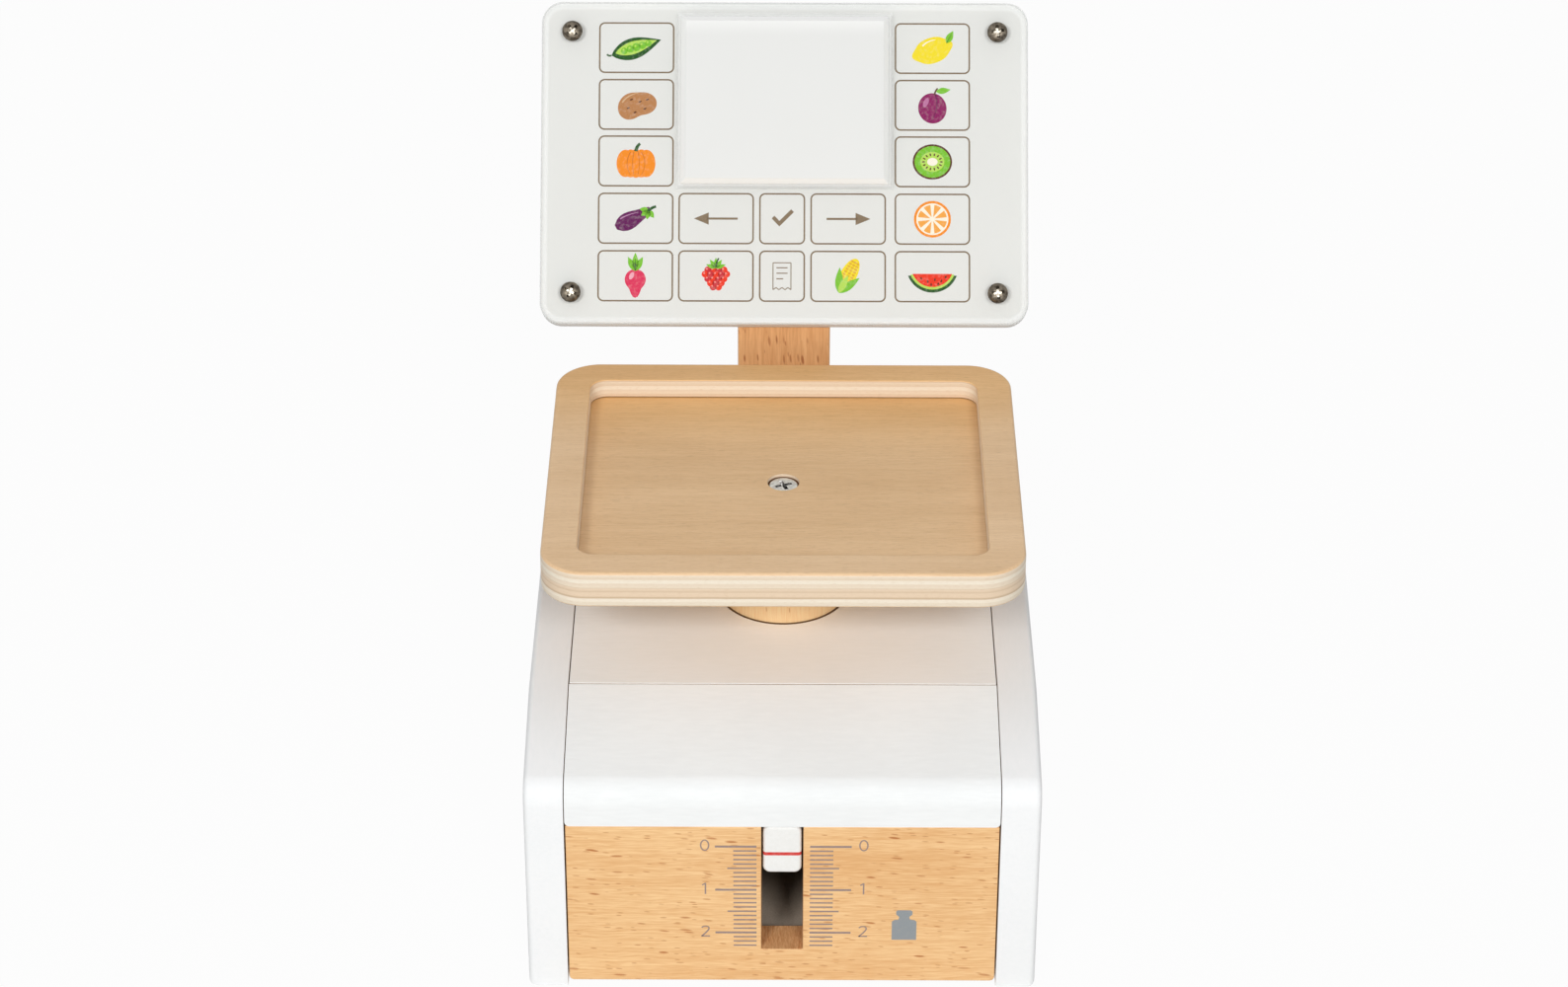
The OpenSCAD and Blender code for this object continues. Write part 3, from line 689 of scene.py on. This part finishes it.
def tick_pattern():
    """A ladder of scale marks beside the slot: every tenth is long, every fifth of middle length."""
    t = Pattern("scale_ticks", Count="Int", Pitch="Float", Top="Float", Side="Float", Gap="Float", Long="Float",
                Middle="Float", Short="Float", Thick="Float", Thin="Float", Depth="Float")
    line = t.add("GeometryNodeMeshLine", {"mode": "OFFSET"}, {
        "Count": t["Count"], "Start Location": t.point(0.0, t["Top"], 0.0),
        "Offset": t.point(0.0, t["Pitch"] * -1.0, 0.0)})
    index = t.add("GeometryNodeInputIndex")
    tenth = 1 - index.math("MODULO", 10.0).math("MINIMUM", 1.0)
    fifth = (1 - index.math("MODULO", 5.0).math("MINIMUM", 1.0)) * (1 - tenth)
    length = t["Short"] + fifth * (t["Middle"] - t["Short"]) + tenth * (t["Long"] - t["Short"])
    height = t["Thin"] + tenth * (t["Thick"] - t["Thin"])
    middle = t["Side"] * (t["Gap"] + length * 0.5)
    line = t.add("GeometryNodeSetPosition", None, {"Geometry": line, "Offset": t.point(middle, 0.0, 0.0)})
    mark = t.add("GeometryNodeMeshCube", None, {"Size": (1, 1, 1)})
    marks = t.add("GeometryNodeInstanceOnPoints", None, {
        "Points": line, "Instance": mark, "Scale": t.point(length, height, t["Depth"])})
    return t.end(marks, SCALE_INK)


def key_pattern():
    """Rounded key outlines, one at each point."""
    t = Pattern("key_outlines", Width="Float", Height="Float", Corner="Float", Line="Float", Depth="Float")
    box = t.add("GeometryNodeCurvePrimitiveQuadrilateral", None, {"Width": t["Width"], "Height": t["Height"]})
    box = t.add("GeometryNodeFilletCurve", {"mode": "POLY"}, {"Curve": box, "Count": 7, "Radius": t["Corner"]})
    box = t.add("GeometryNodeSetCurveNormal", {"mode": "Z_UP"}, {"Curve": box})
    strip = t.add("GeometryNodeCurvePrimitiveQuadrilateral", None, {"Width": t["Line"], "Height": t["Depth"]})
    ring = t.add("GeometryNodeCurveToMesh", None, {"Curve": box, "Profile Curve": strip})
    rings = t.add("GeometryNodeInstanceOnPoints", None, {"Points": t["Geometry"], "Instance": ring})
    return t.end(rings, KEY_INK)


def screw_pattern(*finishes):
    """The given screw on a grid of two by two, each left at its own turn by the screwdriver."""
    t = Pattern("corner_screws", Across="Float", Up="Float", Seed="Int")
    grid = t.add("GeometryNodeMeshGrid", None, {
        "Size X": t["Across"], "Size Y": t["Up"], "Vertices X": 2, "Vertices Y": 2})
    turn = t.add("FunctionNodeRandomValue", {"data_type": "FLOAT"}, {2: 0.0, 3: math.pi / 2, "Seed": t["Seed"]}, 1)
    screws = t.add("GeometryNodeInstanceOnPoints", None, {
        "Points": grid, "Instance": t["Geometry"], "Rotation": t.point(0.0, 0.0, turn)})
    return t.end(screws, *finishes)


def spring_pattern():
    """A wound spring of round wire."""
    t = Pattern("wound_spring", Turns="Float", Radius="Float", Length="Float", Wire="Float")
    path = t.add("GeometryNodeCurveSpiral", None, {
        "Resolution": 40, "Rotations": t["Turns"], "Start Radius": t["Radius"], "End Radius": t["Radius"],
        "Height": t["Length"]})
    ring = t.add("GeometryNodeCurvePrimitiveCircle", None, {"Resolution": 10, "Radius": t["Wire"] * 0.5})
    wire = t.add("GeometryNodeCurveToMesh", None, {"Curve": path, "Profile Curve": ring, "Fill Caps": True})
    return t.end(t.add("GeometryNodeSetShadeSmooth", None, {"Geometry": wire}), BRIGHT_STEEL)


def compass(sides):
    """Directions to the corners of an even polygon."""
    return [(math.cos(2 * math.pi * k / sides), math.sin(2 * math.pi * k / sides)) for k in range(sides)]


def turned(profile, sides=48):
    """A closed solid turned about z from (radius, height) points, from its lower to its upper middle."""
    shape = bmesh.new()
    rows = [[shape.verts.new((r * MM * c, r * MM * s, h * MM)) for c, s in compass(sides if r else 1)]
            for r, h in profile]
    for low, high in zip(rows, rows[1:]):
        for k in range(sides):
            a, b = low[k % len(low)], low[(k + 1) % len(low)]
            c, d = high[(k + 1) % len(high)], high[k % len(high)]
            shape.faces.new(list(dict.fromkeys((a, b, c, d))))
    mesh = bpy.data.meshes.new("turned")
    shape.to_mesh(mesh)
    shape.free()
    return mesh


def cross_head(profile, top, arm, slot, depth):
    """A turned screw with a cross recess, whose faces are marked."""
    cutter = bmesh.new()
    for turn in (0, math.pi / 2):
        ring = []
        for height, length, width in ((-depth, arm * 0.55, slot * 0.7), (0.6, arm * 1.12, slot * 1.1)):
            ring.append([cutter.verts.new(Matrix.Rotation(turn, 3, "Z") @ Vector(
                (x * length / 2 * MM, y * width / 2 * MM, (top + height) * MM)))
                for x, y in ((-1, -1), (1, -1), (1, 1), (-1, 1))])
        cutter.faces.new(ring[0][::-1])
        cutter.faces.new(ring[1])
        for k in range(4):
            cutter.faces.new((ring[0][k], ring[0][(k + 1) % 4], ring[1][(k + 1) % 4], ring[1][k]))
    tool_mesh = bpy.data.meshes.new("cross")
    cutter.to_mesh(tool_mesh)
    cutter.free()
    for face in tool_mesh.polygons:
        face.material_index = 1
    body_mesh = turned(profile)
    for mesh in (tool_mesh, body_mesh):
        mesh.materials.append(DARK_STEEL)
        mesh.materials.append(RECESS_STEEL)
    tool, body = (bpy.data.objects.new("helper", mesh) for mesh in (tool_mesh, body_mesh))
    for helper in (tool, body):
        scene.collection.objects.link(helper)
    cut = body.modifiers.new("cross", "BOOLEAN")
    cut.object, cut.operation, cut.solver, cut.use_self = tool, "DIFFERENCE", "EXACT", True
    mesh = plain_mesh(body)
    bpy.data.objects.remove(tool)
    recess = [face.material_index == 1 for face in mesh.polygons]
    mesh.attributes.new("recess", "BOOLEAN", "FACE").data.foreach_set("value", recess)
    mesh.materials.clear()
    return evenly_shaded(mesh, 28)


def add_screws():
    head = [(0, -8.3), (1.5, -5.3), (1.5, 0), (3.3, 0), (3.3, 0.7), (3.2, 1.15), (2.85, 1.62), (2.2, 1.98), (1.3, 2.15),
            (0, 2.2)]
    screws = screw_pattern(DARK_STEEL, RECESS_STEEL).run(
        cross_head(head, top=2.2, arm=4.7, slot=1.1, depth=1.5),
        Across=(PANEL_W - 2 * SCREW_INSET) * MM, Up=(PANEL_H - 2 * SCREW_INSET) * MM, Seed=7)
    screws.transform(panel_place @ Matrix.Translation((0, PANEL_H / 2 * MM, COVER_FACE * MM)))
    add_piece("corner_screws", screws, "base", (), ["cover_screws"])
    sunk = [(0, -32), (2.1, -27.8), (2.1, -2.3), (4.35, -0.12), (4.3, 0), (4.0, 0.04), (0, 0.04)]
    one = Pattern("tray_screw")
    screw = one.end(one["Geometry"], BRIGHT_STEEL, DARK_RECESS).run(
        cross_head(sunk, top=0.0, arm=5.4, slot=1.2, depth=2.2))
    turn = Matrix.Rotation(math.radians(22), 4, "Z")
    screw.transform(Matrix.Translation((0, column_y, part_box("pan_screw")[1].z)) @ turn)
    add_piece("tray_screw", screw, "platform", (), ["pan_screw"])


def add_spring():
    low, high = (corner.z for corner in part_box("spring"))
    wire, radius, turns = 1.4, 6.6, 11.0
    spring = spring_pattern().run(bpy.data.meshes.new("none"), Turns=turns, Radius=radius * MM,
                                  Length=high - low - wire * MM, Wire=wire * MM)
    spring.transform(Matrix.Translation((0, column_y, low + wire / 2 * MM)))
    piece = add_piece("wound_spring", spring, "base", (), ["spring"])
    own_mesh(piece)


# Printing: thin flat shapes in the plane of what they are printed on

def swung(points, x, y, turn):
    """The points turned about the middle by degrees and moved to x, y."""
    c, s = math.cos(math.radians(turn)), math.sin(math.radians(turn))
    return [(x + c * a - s * b, y + s * a + c * b) for a, b in points]


def oval(x, y, rx, ry=None, turn=0.0, sides=36):
    ry = ry or rx
    return swung([(rx * c, ry * s) for c, s in compass(sides)], x, y, turn)


def bar(left, low, right, high):
    return [(left, low), (right, low), (right, high), (left, high)]


def leaf(x, y, length, width, turn, sides=14):
    """A pointed leaf that starts at x, y and points along turn."""
    half = [(length * k / sides, width / 2 * math.sin(math.pi * (k / sides) ** 0.8)) for k in range(sides + 1)]
    return swung([(a, -b) for a, b in half] + half[-2:0:-1], x, y, turn)


def sides(points, widths):
    """The two sides of a brush line along the points, with one width for each point."""
    left, right = [], []
    for k, p in enumerate(points):
        a, b = Vector(points[max(k - 1, 0)]), Vector(points[min(k + 1, len(points) - 1)])
        side = (b - a).normalized().orthogonal() * widths[k] / 2
        left.append(tuple(Vector(p) - side))
        right.append(tuple(Vector(p) + side))
    return left, right


def stroke(points, width, taper=1.0):
    """A brush line along the points, from width to width times taper."""
    last = len(points) - 1
    left, right = sides(points, [width * (1 + (taper - 1) * k / last) for k in range(last + 1)])
    return left + right[::-1]


def bend(start, middle, end, steps=10):
    """Points on a smooth bend."""
    return [tuple(Vector(start) * (1 - t) ** 2 + Vector(middle) * 2 * t * (1 - t) + Vector(end) * t * t)
            for t in (k / steps for k in range(steps + 1))]


def blob(x, y, radius, sides=48):
    """A closed outline at radius(angle in degrees)."""
    reach = [radius(360 * k / sides) for k in range(sides)]
    return [(x + r * c, y + r * s) for r, (c, s) in zip(reach, compass(sides))]


def wedge(x, y, r, start, end, steps=18):
    """A slice of a disc, closed through its straight side."""
    angles = [math.radians(start + (end - start) * k / steps) for k in range(steps + 1)]
    return [(x + r * math.cos(a), y + r * math.sin(a)) for a in angles]


# Millimetres: an ink's depth, what each layer adds, how far the front's ink is sunk and how far right it sits
INK_DEPTH, LAYER_DEPTH = 0.03, 0.012
INK_SUNK = -0.01
PRINT_SHIFT = 0.3


class Print:
    """Flat inked shapes, each a thin slab that lies on those before it. Pictures carry their own colours."""

    def __init__(self, base):
        self.shape, self.base = bmesh.new(), base
        self.inks = self.shape.loops.layers.float_color.new("ink")

    def draw(self, points, colour=WHITE, layer=0, at=(0, 0)):
        heights = self.base, self.base + INK_DEPTH + LAYER_DEPTH * layer
        low, high = ([self.shape.verts.new(((x + at[0]) * MM, (y + at[1]) * MM, h * MM)) for x, y in points]
                     for h in heights)
        faces = [self.shape.faces.new(low[::-1]), self.shape.faces.new(high)]
        count = len(points)
        faces += [self.shape.faces.new((low[k], low[(k + 1) % count], high[(k + 1) % count], high[k]))
                  for k in range(count)]
        for face in faces:
            for corner in face.loops:
                corner[self.inks] = colour

    def ring(self, outer, inner, at):
        for k in range(len(outer)):
            n = (k + 1) % len(outer)
            self.draw([outer[k], outer[n], inner[n], inner[k]], at=at)

    def mesh(self, name, place):
        mesh = bpy.data.meshes.new(name)
        bmesh.ops.recalc_face_normals(self.shape, faces=self.shape.faces)
        bmesh.ops.triangulate(self.shape, faces=self.shape.faces)
        self.shape.to_mesh(mesh)
        self.shape.free()
        mesh.transform(place)
        return mesh


def draw_digit(p, number, at):
    """A plain printed digit, 4.2 mm tall, about its middle."""
    if number == 0:
        p.ring(oval(0, 0, 1.42, 2.1), oval(0, 0, 0.98, 1.64), at)
    elif number == 1:
        p.draw([(-0.12, -2.1), (0.34, -2.1), (0.34, 2.1), (-0.06, 2.1), (-1.0, 1.42), (-0.78, 1.06), (-0.12, 1.5)],
               at=at)
    else:
        top = bend((-1.1, 1.3), (-0.7, 1.9), (0.1, 1.87)) + bend((0.1, 1.87), (1.16, 1.84), (1.08, 0.9))[1:]
        p.draw(stroke(top + bend((1.08, 0.9), (0.96, 0.2), (-1.1, -1.86))[1:], 0.46), at=at)
        p.draw(bar(-1.3, -2.1, 1.4, -1.64), at=at)


def joined(name, meshes):
    shape = bmesh.new()
    for mesh in meshes:
        shape.from_mesh(mesh)
    mesh = bpy.data.meshes.new(name)
    shape.to_mesh(mesh)
    shape.free()
    return mesh


def add_scale_print():
    zero, unit = 52.7, 16.15
    ticks = tick_pattern()
    sizes = dict(Count=24, Pitch=unit / 10 * MM, Top=zero * MM, Gap=8.05 * MM, Long=12.5 * MM, Middle=8.8 * MM,
                 Short=7.0 * MM, Thick=0.75 * MM, Thin=0.55 * MM, Depth=0.06 * MM)
    marks = [ticks.run(bpy.data.meshes.new("none"), Side=side, **sizes) for side in (-1.0, 1.0)]
    for mark in marks:
        mark.transform(front_place @ Matrix.Translation((PRINT_SHIFT * MM, 0, INK_SUNK * MM)))
    digits = Print(INK_SUNK)
    for number in range(3):
        for x in (-23.6, 24.2):
            draw_digit(digits, number, (x + PRINT_SHIFT, zero - number * unit + 0.5))
    mesh = joined("scale_print", marks + [digits.mesh("digits", front_place)])
    mesh.materials.clear()
    add_piece("scale_print", mesh, "base", [SCALE_INK])
    sign = Print(INK_SUNK)
    half = [(3.75, 0), (3.75, 6.9), (3.1, 7.5), (1.75, 7.7), (1.5, 8.7), (2.45, 9.5), (2.5, 10.7), (2.0, 11.2)]
    outline = [(-3.75, 0)] + half + [(-x, y) for x, y in half[:0:-1]]
    sign.draw(outline, at=(36.8 + PRINT_SHIFT, 17.8))
    add_piece("weight_sign", sign.mesh("weight_sign", front_place), "base", [WEIGHT_INK])


# The middles of the keys on the panel, in millimetres
KEY_ROWS = [90.7, 72.0, 53.4, 34.6, 15.8]
KEY_COLUMNS = [-48.2, -22.1, -0.7, 20.7, 48.0]


def add_keys():
    keys = key_pattern()
    wide = [(x, y, SHEET_FACE) for y in KEY_ROWS for x in (KEY_COLUMNS[0], KEY_COLUMNS[4])]
    wide += [(x, y, SHEET_FACE) for y in KEY_ROWS[3:] for x in (KEY_COLUMNS[1], KEY_COLUMNS[3])]
    narrow = [(KEY_COLUMNS[2], y, SHEET_FACE) for y in KEY_ROWS[3:]]
    sizes = dict(Height=16.3 * MM, Corner=1.7 * MM, Line=0.5 * MM, Depth=0.06 * MM)
    mesh = joined("key_outlines", [keys.run(points_mesh(wide), Width=24.0 * MM, **sizes),
                                   keys.run(points_mesh(narrow), Width=14.4 * MM, **sizes)])
    mesh.transform(panel_place)
    mesh.materials.clear()
    add_piece("key_outlines", mesh, "base", [KEY_INK])
    signs = Print(SHEET_FACE)
    for x, side in ((KEY_COLUMNS[1], -1), (KEY_COLUMNS[3], 1)):
        for shape in (bar(-7, -0.35, 3, 0.35), [(2.4, -2.0), (7.2, 0), (2.4, 2.0)]):
            signs.draw([(side * a, b) for a, b in shape], at=(x, KEY_ROWS[3]))
    tick_at, slip_at = (KEY_COLUMNS[2], KEY_ROWS[3]), (KEY_COLUMNS[2], KEY_ROWS[4])
    signs.draw([(-3.4, 0.1), (-2.5, 1.0), (-0.9, -0.7), (2.9, 3.1), (3.8, 2.2), (-0.9, -2.5)], at=tick_at)
    slip = [(-2.9, -4.4), (-1.9, -3.7), (-1.0, -4.4), (0, -3.7), (1.0, -4.4), (1.9, -3.7), (2.9, -4.4), (2.9, 4.4),
            (-2.9, 4.4)]
    for a, b in zip(slip, slip[1:] + slip[:1]):
        signs.draw(stroke([a, b], 0.3), at=slip_at)
    for row, length in enumerate((3.6, 3.6, 2.2)):
        signs.draw(bar(-1.8, 2.6 - row * 1.8, -1.8 + length, 2.95 - row * 1.8), at=slip_at)
    add_piece("key_signs", signs.mesh("key_signs", panel_place), "base", [KEY_INK])


GREEN, PALE_GREEN, DARK_GREEN = seen(122, 194, 48), seen(182, 220, 90), seen(34, 84, 30)
YELLOW, ORANGE, RED, PINK = seen(244, 222, 40), seen(244, 142, 28), seen(236, 54, 26), seen(220, 52, 92)
PURPLE, PLUM, BROWN, CREAM = seen(98, 18, 86), seen(140, 26, 94), seen(184, 128, 80), seen(250, 243, 224)
DARK_BROWN = seen(88, 48, 28)


def peas(p, at):
    p.draw(leaf(-8.2, -2.6, 17, 7.0, 18), DARK_GREEN, 0, at)
    p.draw(leaf(-6.9, -1.9, 14.2, 4.2, 18), PALE_GREEN, 1, at)
    for k in range(5):
        p.draw(oval(-4.0 + k * 1.95, -1.1 + k * 0.63, 1.35 - abs(k - 2) * 0.14), GREEN, 2, at)
        p.draw(oval(-4.3 + k * 1.95, -0.7 + k * 0.63, 0.35), PALE_GREEN, 3, at)
    p.draw(stroke(bend((-8.2, -2.6), (-9.2, -2.9), (-9.6, -2.2)), 0.6), DARK_GREEN, 1, at)


def pumpkin(p, at):
    for x, layer in ((-3.4, 0), (3.4, 0), (-1.7, 1), (1.7, 1), (0, 2)):
        p.draw(oval(x, -0.8, 2.9 - 0.2 * layer, 4.5 + 0.1 * layer), ORANGE, layer, at)
    for x in (-3.2, -1.2, 1.2, 3.2):
        p.draw(stroke(bend((x * 0.55, 3.0), (x * 1.25, -0.8), (x * 0.55, -4.6)), 0.28, 0.5), seen(206, 112, 34), 3, at)
    p.draw(stroke(bend((0, 3.2), (0.1, 4.8), (1.3, 5.7)), 1.2, 0.7), DARK_GREEN, 4, at)


def aubergine(p, at):
    widths = [1.8, 2.6, 3.1, 3.6, 4.2, 4.9, 5.5, 5.8, 5.5, 4.3, 1.6]
    left, right = sides(bend((4.8, 3.0), (0.6, 0.6), (-6.4, -3.0)), widths)
    p.draw(left + right[::-1], PURPLE, 0, at)
    p.draw(stroke(bend((-5.0, -0.2), (-2.6, 1.3), (0.8, 2.0)), 0.4, 0.4), seen(190, 140, 180), 1, at)
    for turn in (170, 215, 260, 305):
        p.draw(leaf(4.2, 2.6, 3.0, 1.8, turn), GREEN, 2, at)
    p.draw(stroke(bend((4.0, 2.4), (5.2, 3.6), (6.6, 3.9)), 1.0, 0.8), DARK_GREEN, 3, at)


def radish(p, at):
    p.draw(blob(0, -1.2, lambda a: 3.4 + 2.6 * max(0.0, math.cos(math.radians(a - 270))) ** 14), PINK, 0, at)
    p.draw(oval(-1.2, 0.0, 0.7, 1.3, -25), seen(240, 168, 184), 1, at)
    for turn, length in ((62, 5.2), (90, 6.0), (118, 5.2)):
        p.draw(leaf(0, 1.6, length, 2.1, turn), GREEN, 1, at)
    p.draw(stroke([(0, 1.8), (0, 5.6)], 0.25, 0.5), DARK_GREEN, 2, at)


def potato(p, at):
    p.draw(blob(0, -0.2, lambda a: 5.2 + 1.2 * math.cos(math.radians(2 * a - 30))
                + 0.35 * math.cos(math.radians(3 * a))), BROWN, 0, at)
    p.draw(stroke(bend((-4.6, 0.6), (-2.8, 3.2), (0.6, 3.8)), 0.5, 0.4), seen(212, 176, 136), 1, at)
    for x, y in ((-2.6, -1.2), (1.2, 0.9), (2.8, -1.4), (-0.4, -2.6), (3.6, 1.6), (-1.6, 1.6)):
        p.draw(oval(x, y, 0.55, 0.25, 20), DARK_BROWN, 1, at)


def lemon(p, at):
    p.draw(blob(0, -0.6, lambda a: 4.2 + 1.5 * math.cos(math.radians(a - 20)) ** 2
                + 1.3 * math.cos(math.radians(a - 20)) ** 24), YELLOW, 0, at)
    p.draw(stroke(bend((-3.2, 0.8), (-1.6, 2.6), (1.0, 2.9)), 0.5, 0.4), CREAM, 1, at)
    p.draw(leaf(4.6, 1.8, 4.6, 2.2, 62), GREEN, 1, at)
    p.draw(stroke([(4.6, 1.8), (6.2, 4.8)], 0.22, 0.5), DARK_GREEN, 2, at)


def plum(p, at):
    p.draw(oval(0, -1.0, 4.6, 5.0, 12), PLUM, 0, at)
    p.draw(stroke(bend((0.9, 3.6), (2.6, -0.6), (-0.6, -5.6)), 0.35, 0.4), seen(96, 30, 74), 1, at)
    p.draw(oval(-2.1, 0.9, 0.8, 1.6, -24), seen(188, 116, 160), 1, at)
    p.draw(stroke(bend((0.7, 3.4), (0.8, 4.6), (1.7, 5.6)), 0.5), DARK_BROWN, 2, at)
    p.draw(leaf(1.2, 4.5, 4.8, 2.0, 8), GREEN, 2, at)


def kiwi(p, at):
    p.draw(oval(0, 0, 6.4, 5.8), DARK_BROWN, 0, at)
    p.draw(oval(0, 0, 5.8, 5.2), GREEN, 1, at)
    p.draw(oval(0, 0, 3.9, 3.3), PALE_GREEN, 2, at)
    p.draw(oval(0, 0, 1.7, 1.3), CREAM, 3, at)
    for k in range(14):
        a = 2 * math.pi * k / 14
        p.draw(oval(2.9 * math.cos(a), 2.4 * math.sin(a), 0.5, 0.24, math.degrees(a), 12), DARK_BROWN, 4, at)


def orange_slice(p, at):
    p.draw(oval(0, 0, 6.0), ORANGE, 0, at)
    p.draw(oval(0, 0, 5.2), CREAM, 1, at)
    for k in range(8):
        a = 45 * k + 22.5
        x, y = 0.7 * math.cos(math.radians(a)), 0.7 * math.sin(math.radians(a))
        p.draw([(x, y)] + wedge(x, y, 4.0, a - 17, a + 17, 8), seen(244, 168, 74), 2, at)


def melon(p, at):
    p.draw(wedge(0, 3.2, 8.4, 200, 340), DARK_GREEN, 0, at)
    p.draw(wedge(0, 3.4, 7.6, 201, 339), PALE_GREEN, 1, at)
    p.draw(wedge(0, 3.5, 6.9, 202, 338), RED, 2, at)
    for x, y in ((-3.6, -0.6), (-1.5, -1.6), (0.8, -1.0), (2.9, -1.4), (4.3, -0.1), (-0.4, -2.6), (1.9, -2.4)):
        p.draw(oval(x, y, 0.26, 0.5, -x * 6, 12), DARK_BROWN, 3, at)


def raspberry(p, at):
    for row, (y, count) in enumerate(((2.0, 4), (0.6, 5), (-0.9, 4), (-2.3, 3), (-3.6, 2))):
        for k in range(count):
            x = (k - (count - 1) / 2) * 1.75
            p.draw(oval(x, y, 1.12, sides=18), RED if (k + row) % 2 else seen(204, 44, 54), row % 2, at)
            p.draw(oval(x - 0.3, y + 0.35, 0.3, sides=10), seen(244, 150, 140), 2, at)
    for turn in (20, 55, 90, 125, 160):
        p.draw(leaf(0, 2.6, 3.4, 1.3, turn), GREEN, 3, at)
    p.draw(stroke(bend((0, 3.0), (0.1, 4.6), (0.9, 5.8)), 0.5), DARK_GREEN, 4, at)


def corn(p, at):
    turn = -28
    p.draw(oval(0, 0.2, 2.7, 6.2, turn), YELLOW, 0, at)
    for row in range(9):
        for k in range(-1, 2):
            grain = k * 1.45 * (1 - abs(row - 3.4) * 0.06), -3.0 + row * 0.98
            p.draw(oval(*swung([grain], 0, 0.2, turn)[0], 0.55, 0.38, turn, 12), seen(226, 178, 40), 1, at)
    for turn, width in ((88, 2.6), (36, 2.6)):
        p.draw(leaf(-3.0, -5.4, 8.4, width, turn), GREEN, 2, at)
    p.draw(leaf(-3.0, -5.4, 6.6, 2.2, 62), PALE_GREEN, 3, at)


def add_pictures():
    """Plain garden produce, drawn flat, for the keys round the display."""
    pictures = Print(SHEET_FACE)
    for row, (left, right) in enumerate(((peas, lemon), (potato, plum), (pumpkin, kiwi), (aubergine, orange_slice),
                                         (radish, melon))):
        left(pictures, (KEY_COLUMNS[0], KEY_ROWS[row]))
        right(pictures, (KEY_COLUMNS[4], KEY_ROWS[row]))
    raspberry(pictures, (KEY_COLUMNS[1], KEY_ROWS[4]))
    corn(pictures, (KEY_COLUMNS[3], KEY_ROWS[4]))
    add_piece("key_pictures", pictures.mesh("key_pictures", panel_place), "base", [PICTURE_INK])


# Studio

FLOOR_GLOW = 0.96
AMBIENT = 0.374
# Each lamp's name, place, side and watts
LAMPS = (("left_softbox", (-0.73, -2.13, 1.59), 0.5, 24.8),
         ("right_softbox", (0.56, -2.18, 1.59), 0.5, 20.8),
         ("low_softbox", (0.0, -2.38, 0.43), 1.2, 3.2))
LAMP_AIM = Vector((0, 0, 0.1))


def straight_view(tree):
    """1 for what is looked at, also in a reflection or through something clear, and 0 for what lights other things."""
    first, *others = (tree.add("ShaderNodeLightPath", None, None, name)
                      for name in ("Is Camera Ray", "Is Glossy Ray", "Is Transmission Ray"))
    for ray in others:
        first = first.math("MAXIMUM", ray)
    return first


def add_floor():
    floor = bpy.data.meshes.new("floor")
    floor.from_pydata([(-6, -6, 0), (6, -6, 0), (6, 6, 0), (-6, 6, 0)], [], [(0, 1, 2, 3)])
    material = bpy.data.materials.new("floor_white")
    material.use_nodes = True
    paint = Tree(material.node_tree)
    matte = paint.add("ShaderNodeBsdfDiffuse", None, {"Color": seen(204, 204, 202)})
    glow = paint.add("ShaderNodeEmission", None, {"Color": WHITE, "Strength": 1.0})
    shown = paint.add("ShaderNodeMixShader", None, {0: straight_view(paint) * FLOOR_GLOW, 1: matte, 2: glow})
    paint.tree.links.new(shown.socket, paint.tree.nodes["Material Output"].inputs["Surface"])
    floor.materials.append(material)
    stage = bpy.data.objects.new("floor", floor)
    scene.collection.objects.link(stage)


def set_world():
    world = bpy.data.worlds.new("studio")
    scene.world = world
    world.use_nodes = True
    room = Tree(world.node_tree)
    air = room.add("ShaderNodeMix", {"data_type": "RGBA"},
                   {0: straight_view(room), 6: (AMBIENT, AMBIENT, AMBIENT, 1), 7: WHITE}, 2)
    room.tree.links.new(air.socket, world.node_tree.nodes["Background"].inputs["Color"])


def add_lamps():
    for name, place, size, power in LAMPS:
        lamp = bpy.data.lights.new(name, "AREA")
        lamp.size, lamp.energy = size, power
        holder = bpy.data.objects.new(name, lamp)
        aim = LAMP_AIM - Vector(place)
        holder.matrix_world = Matrix.Translation(place) @ aim.to_track_quat("-Z", "Y").to_matrix().to_4x4()
        scene.collection.objects.link(holder)


set_camera()
add_housing()
add_platform()
add_panel()
add_screws()
add_spring()
add_scale_print()
add_keys()
add_pictures()
add_floor()
set_world()
add_lamps()
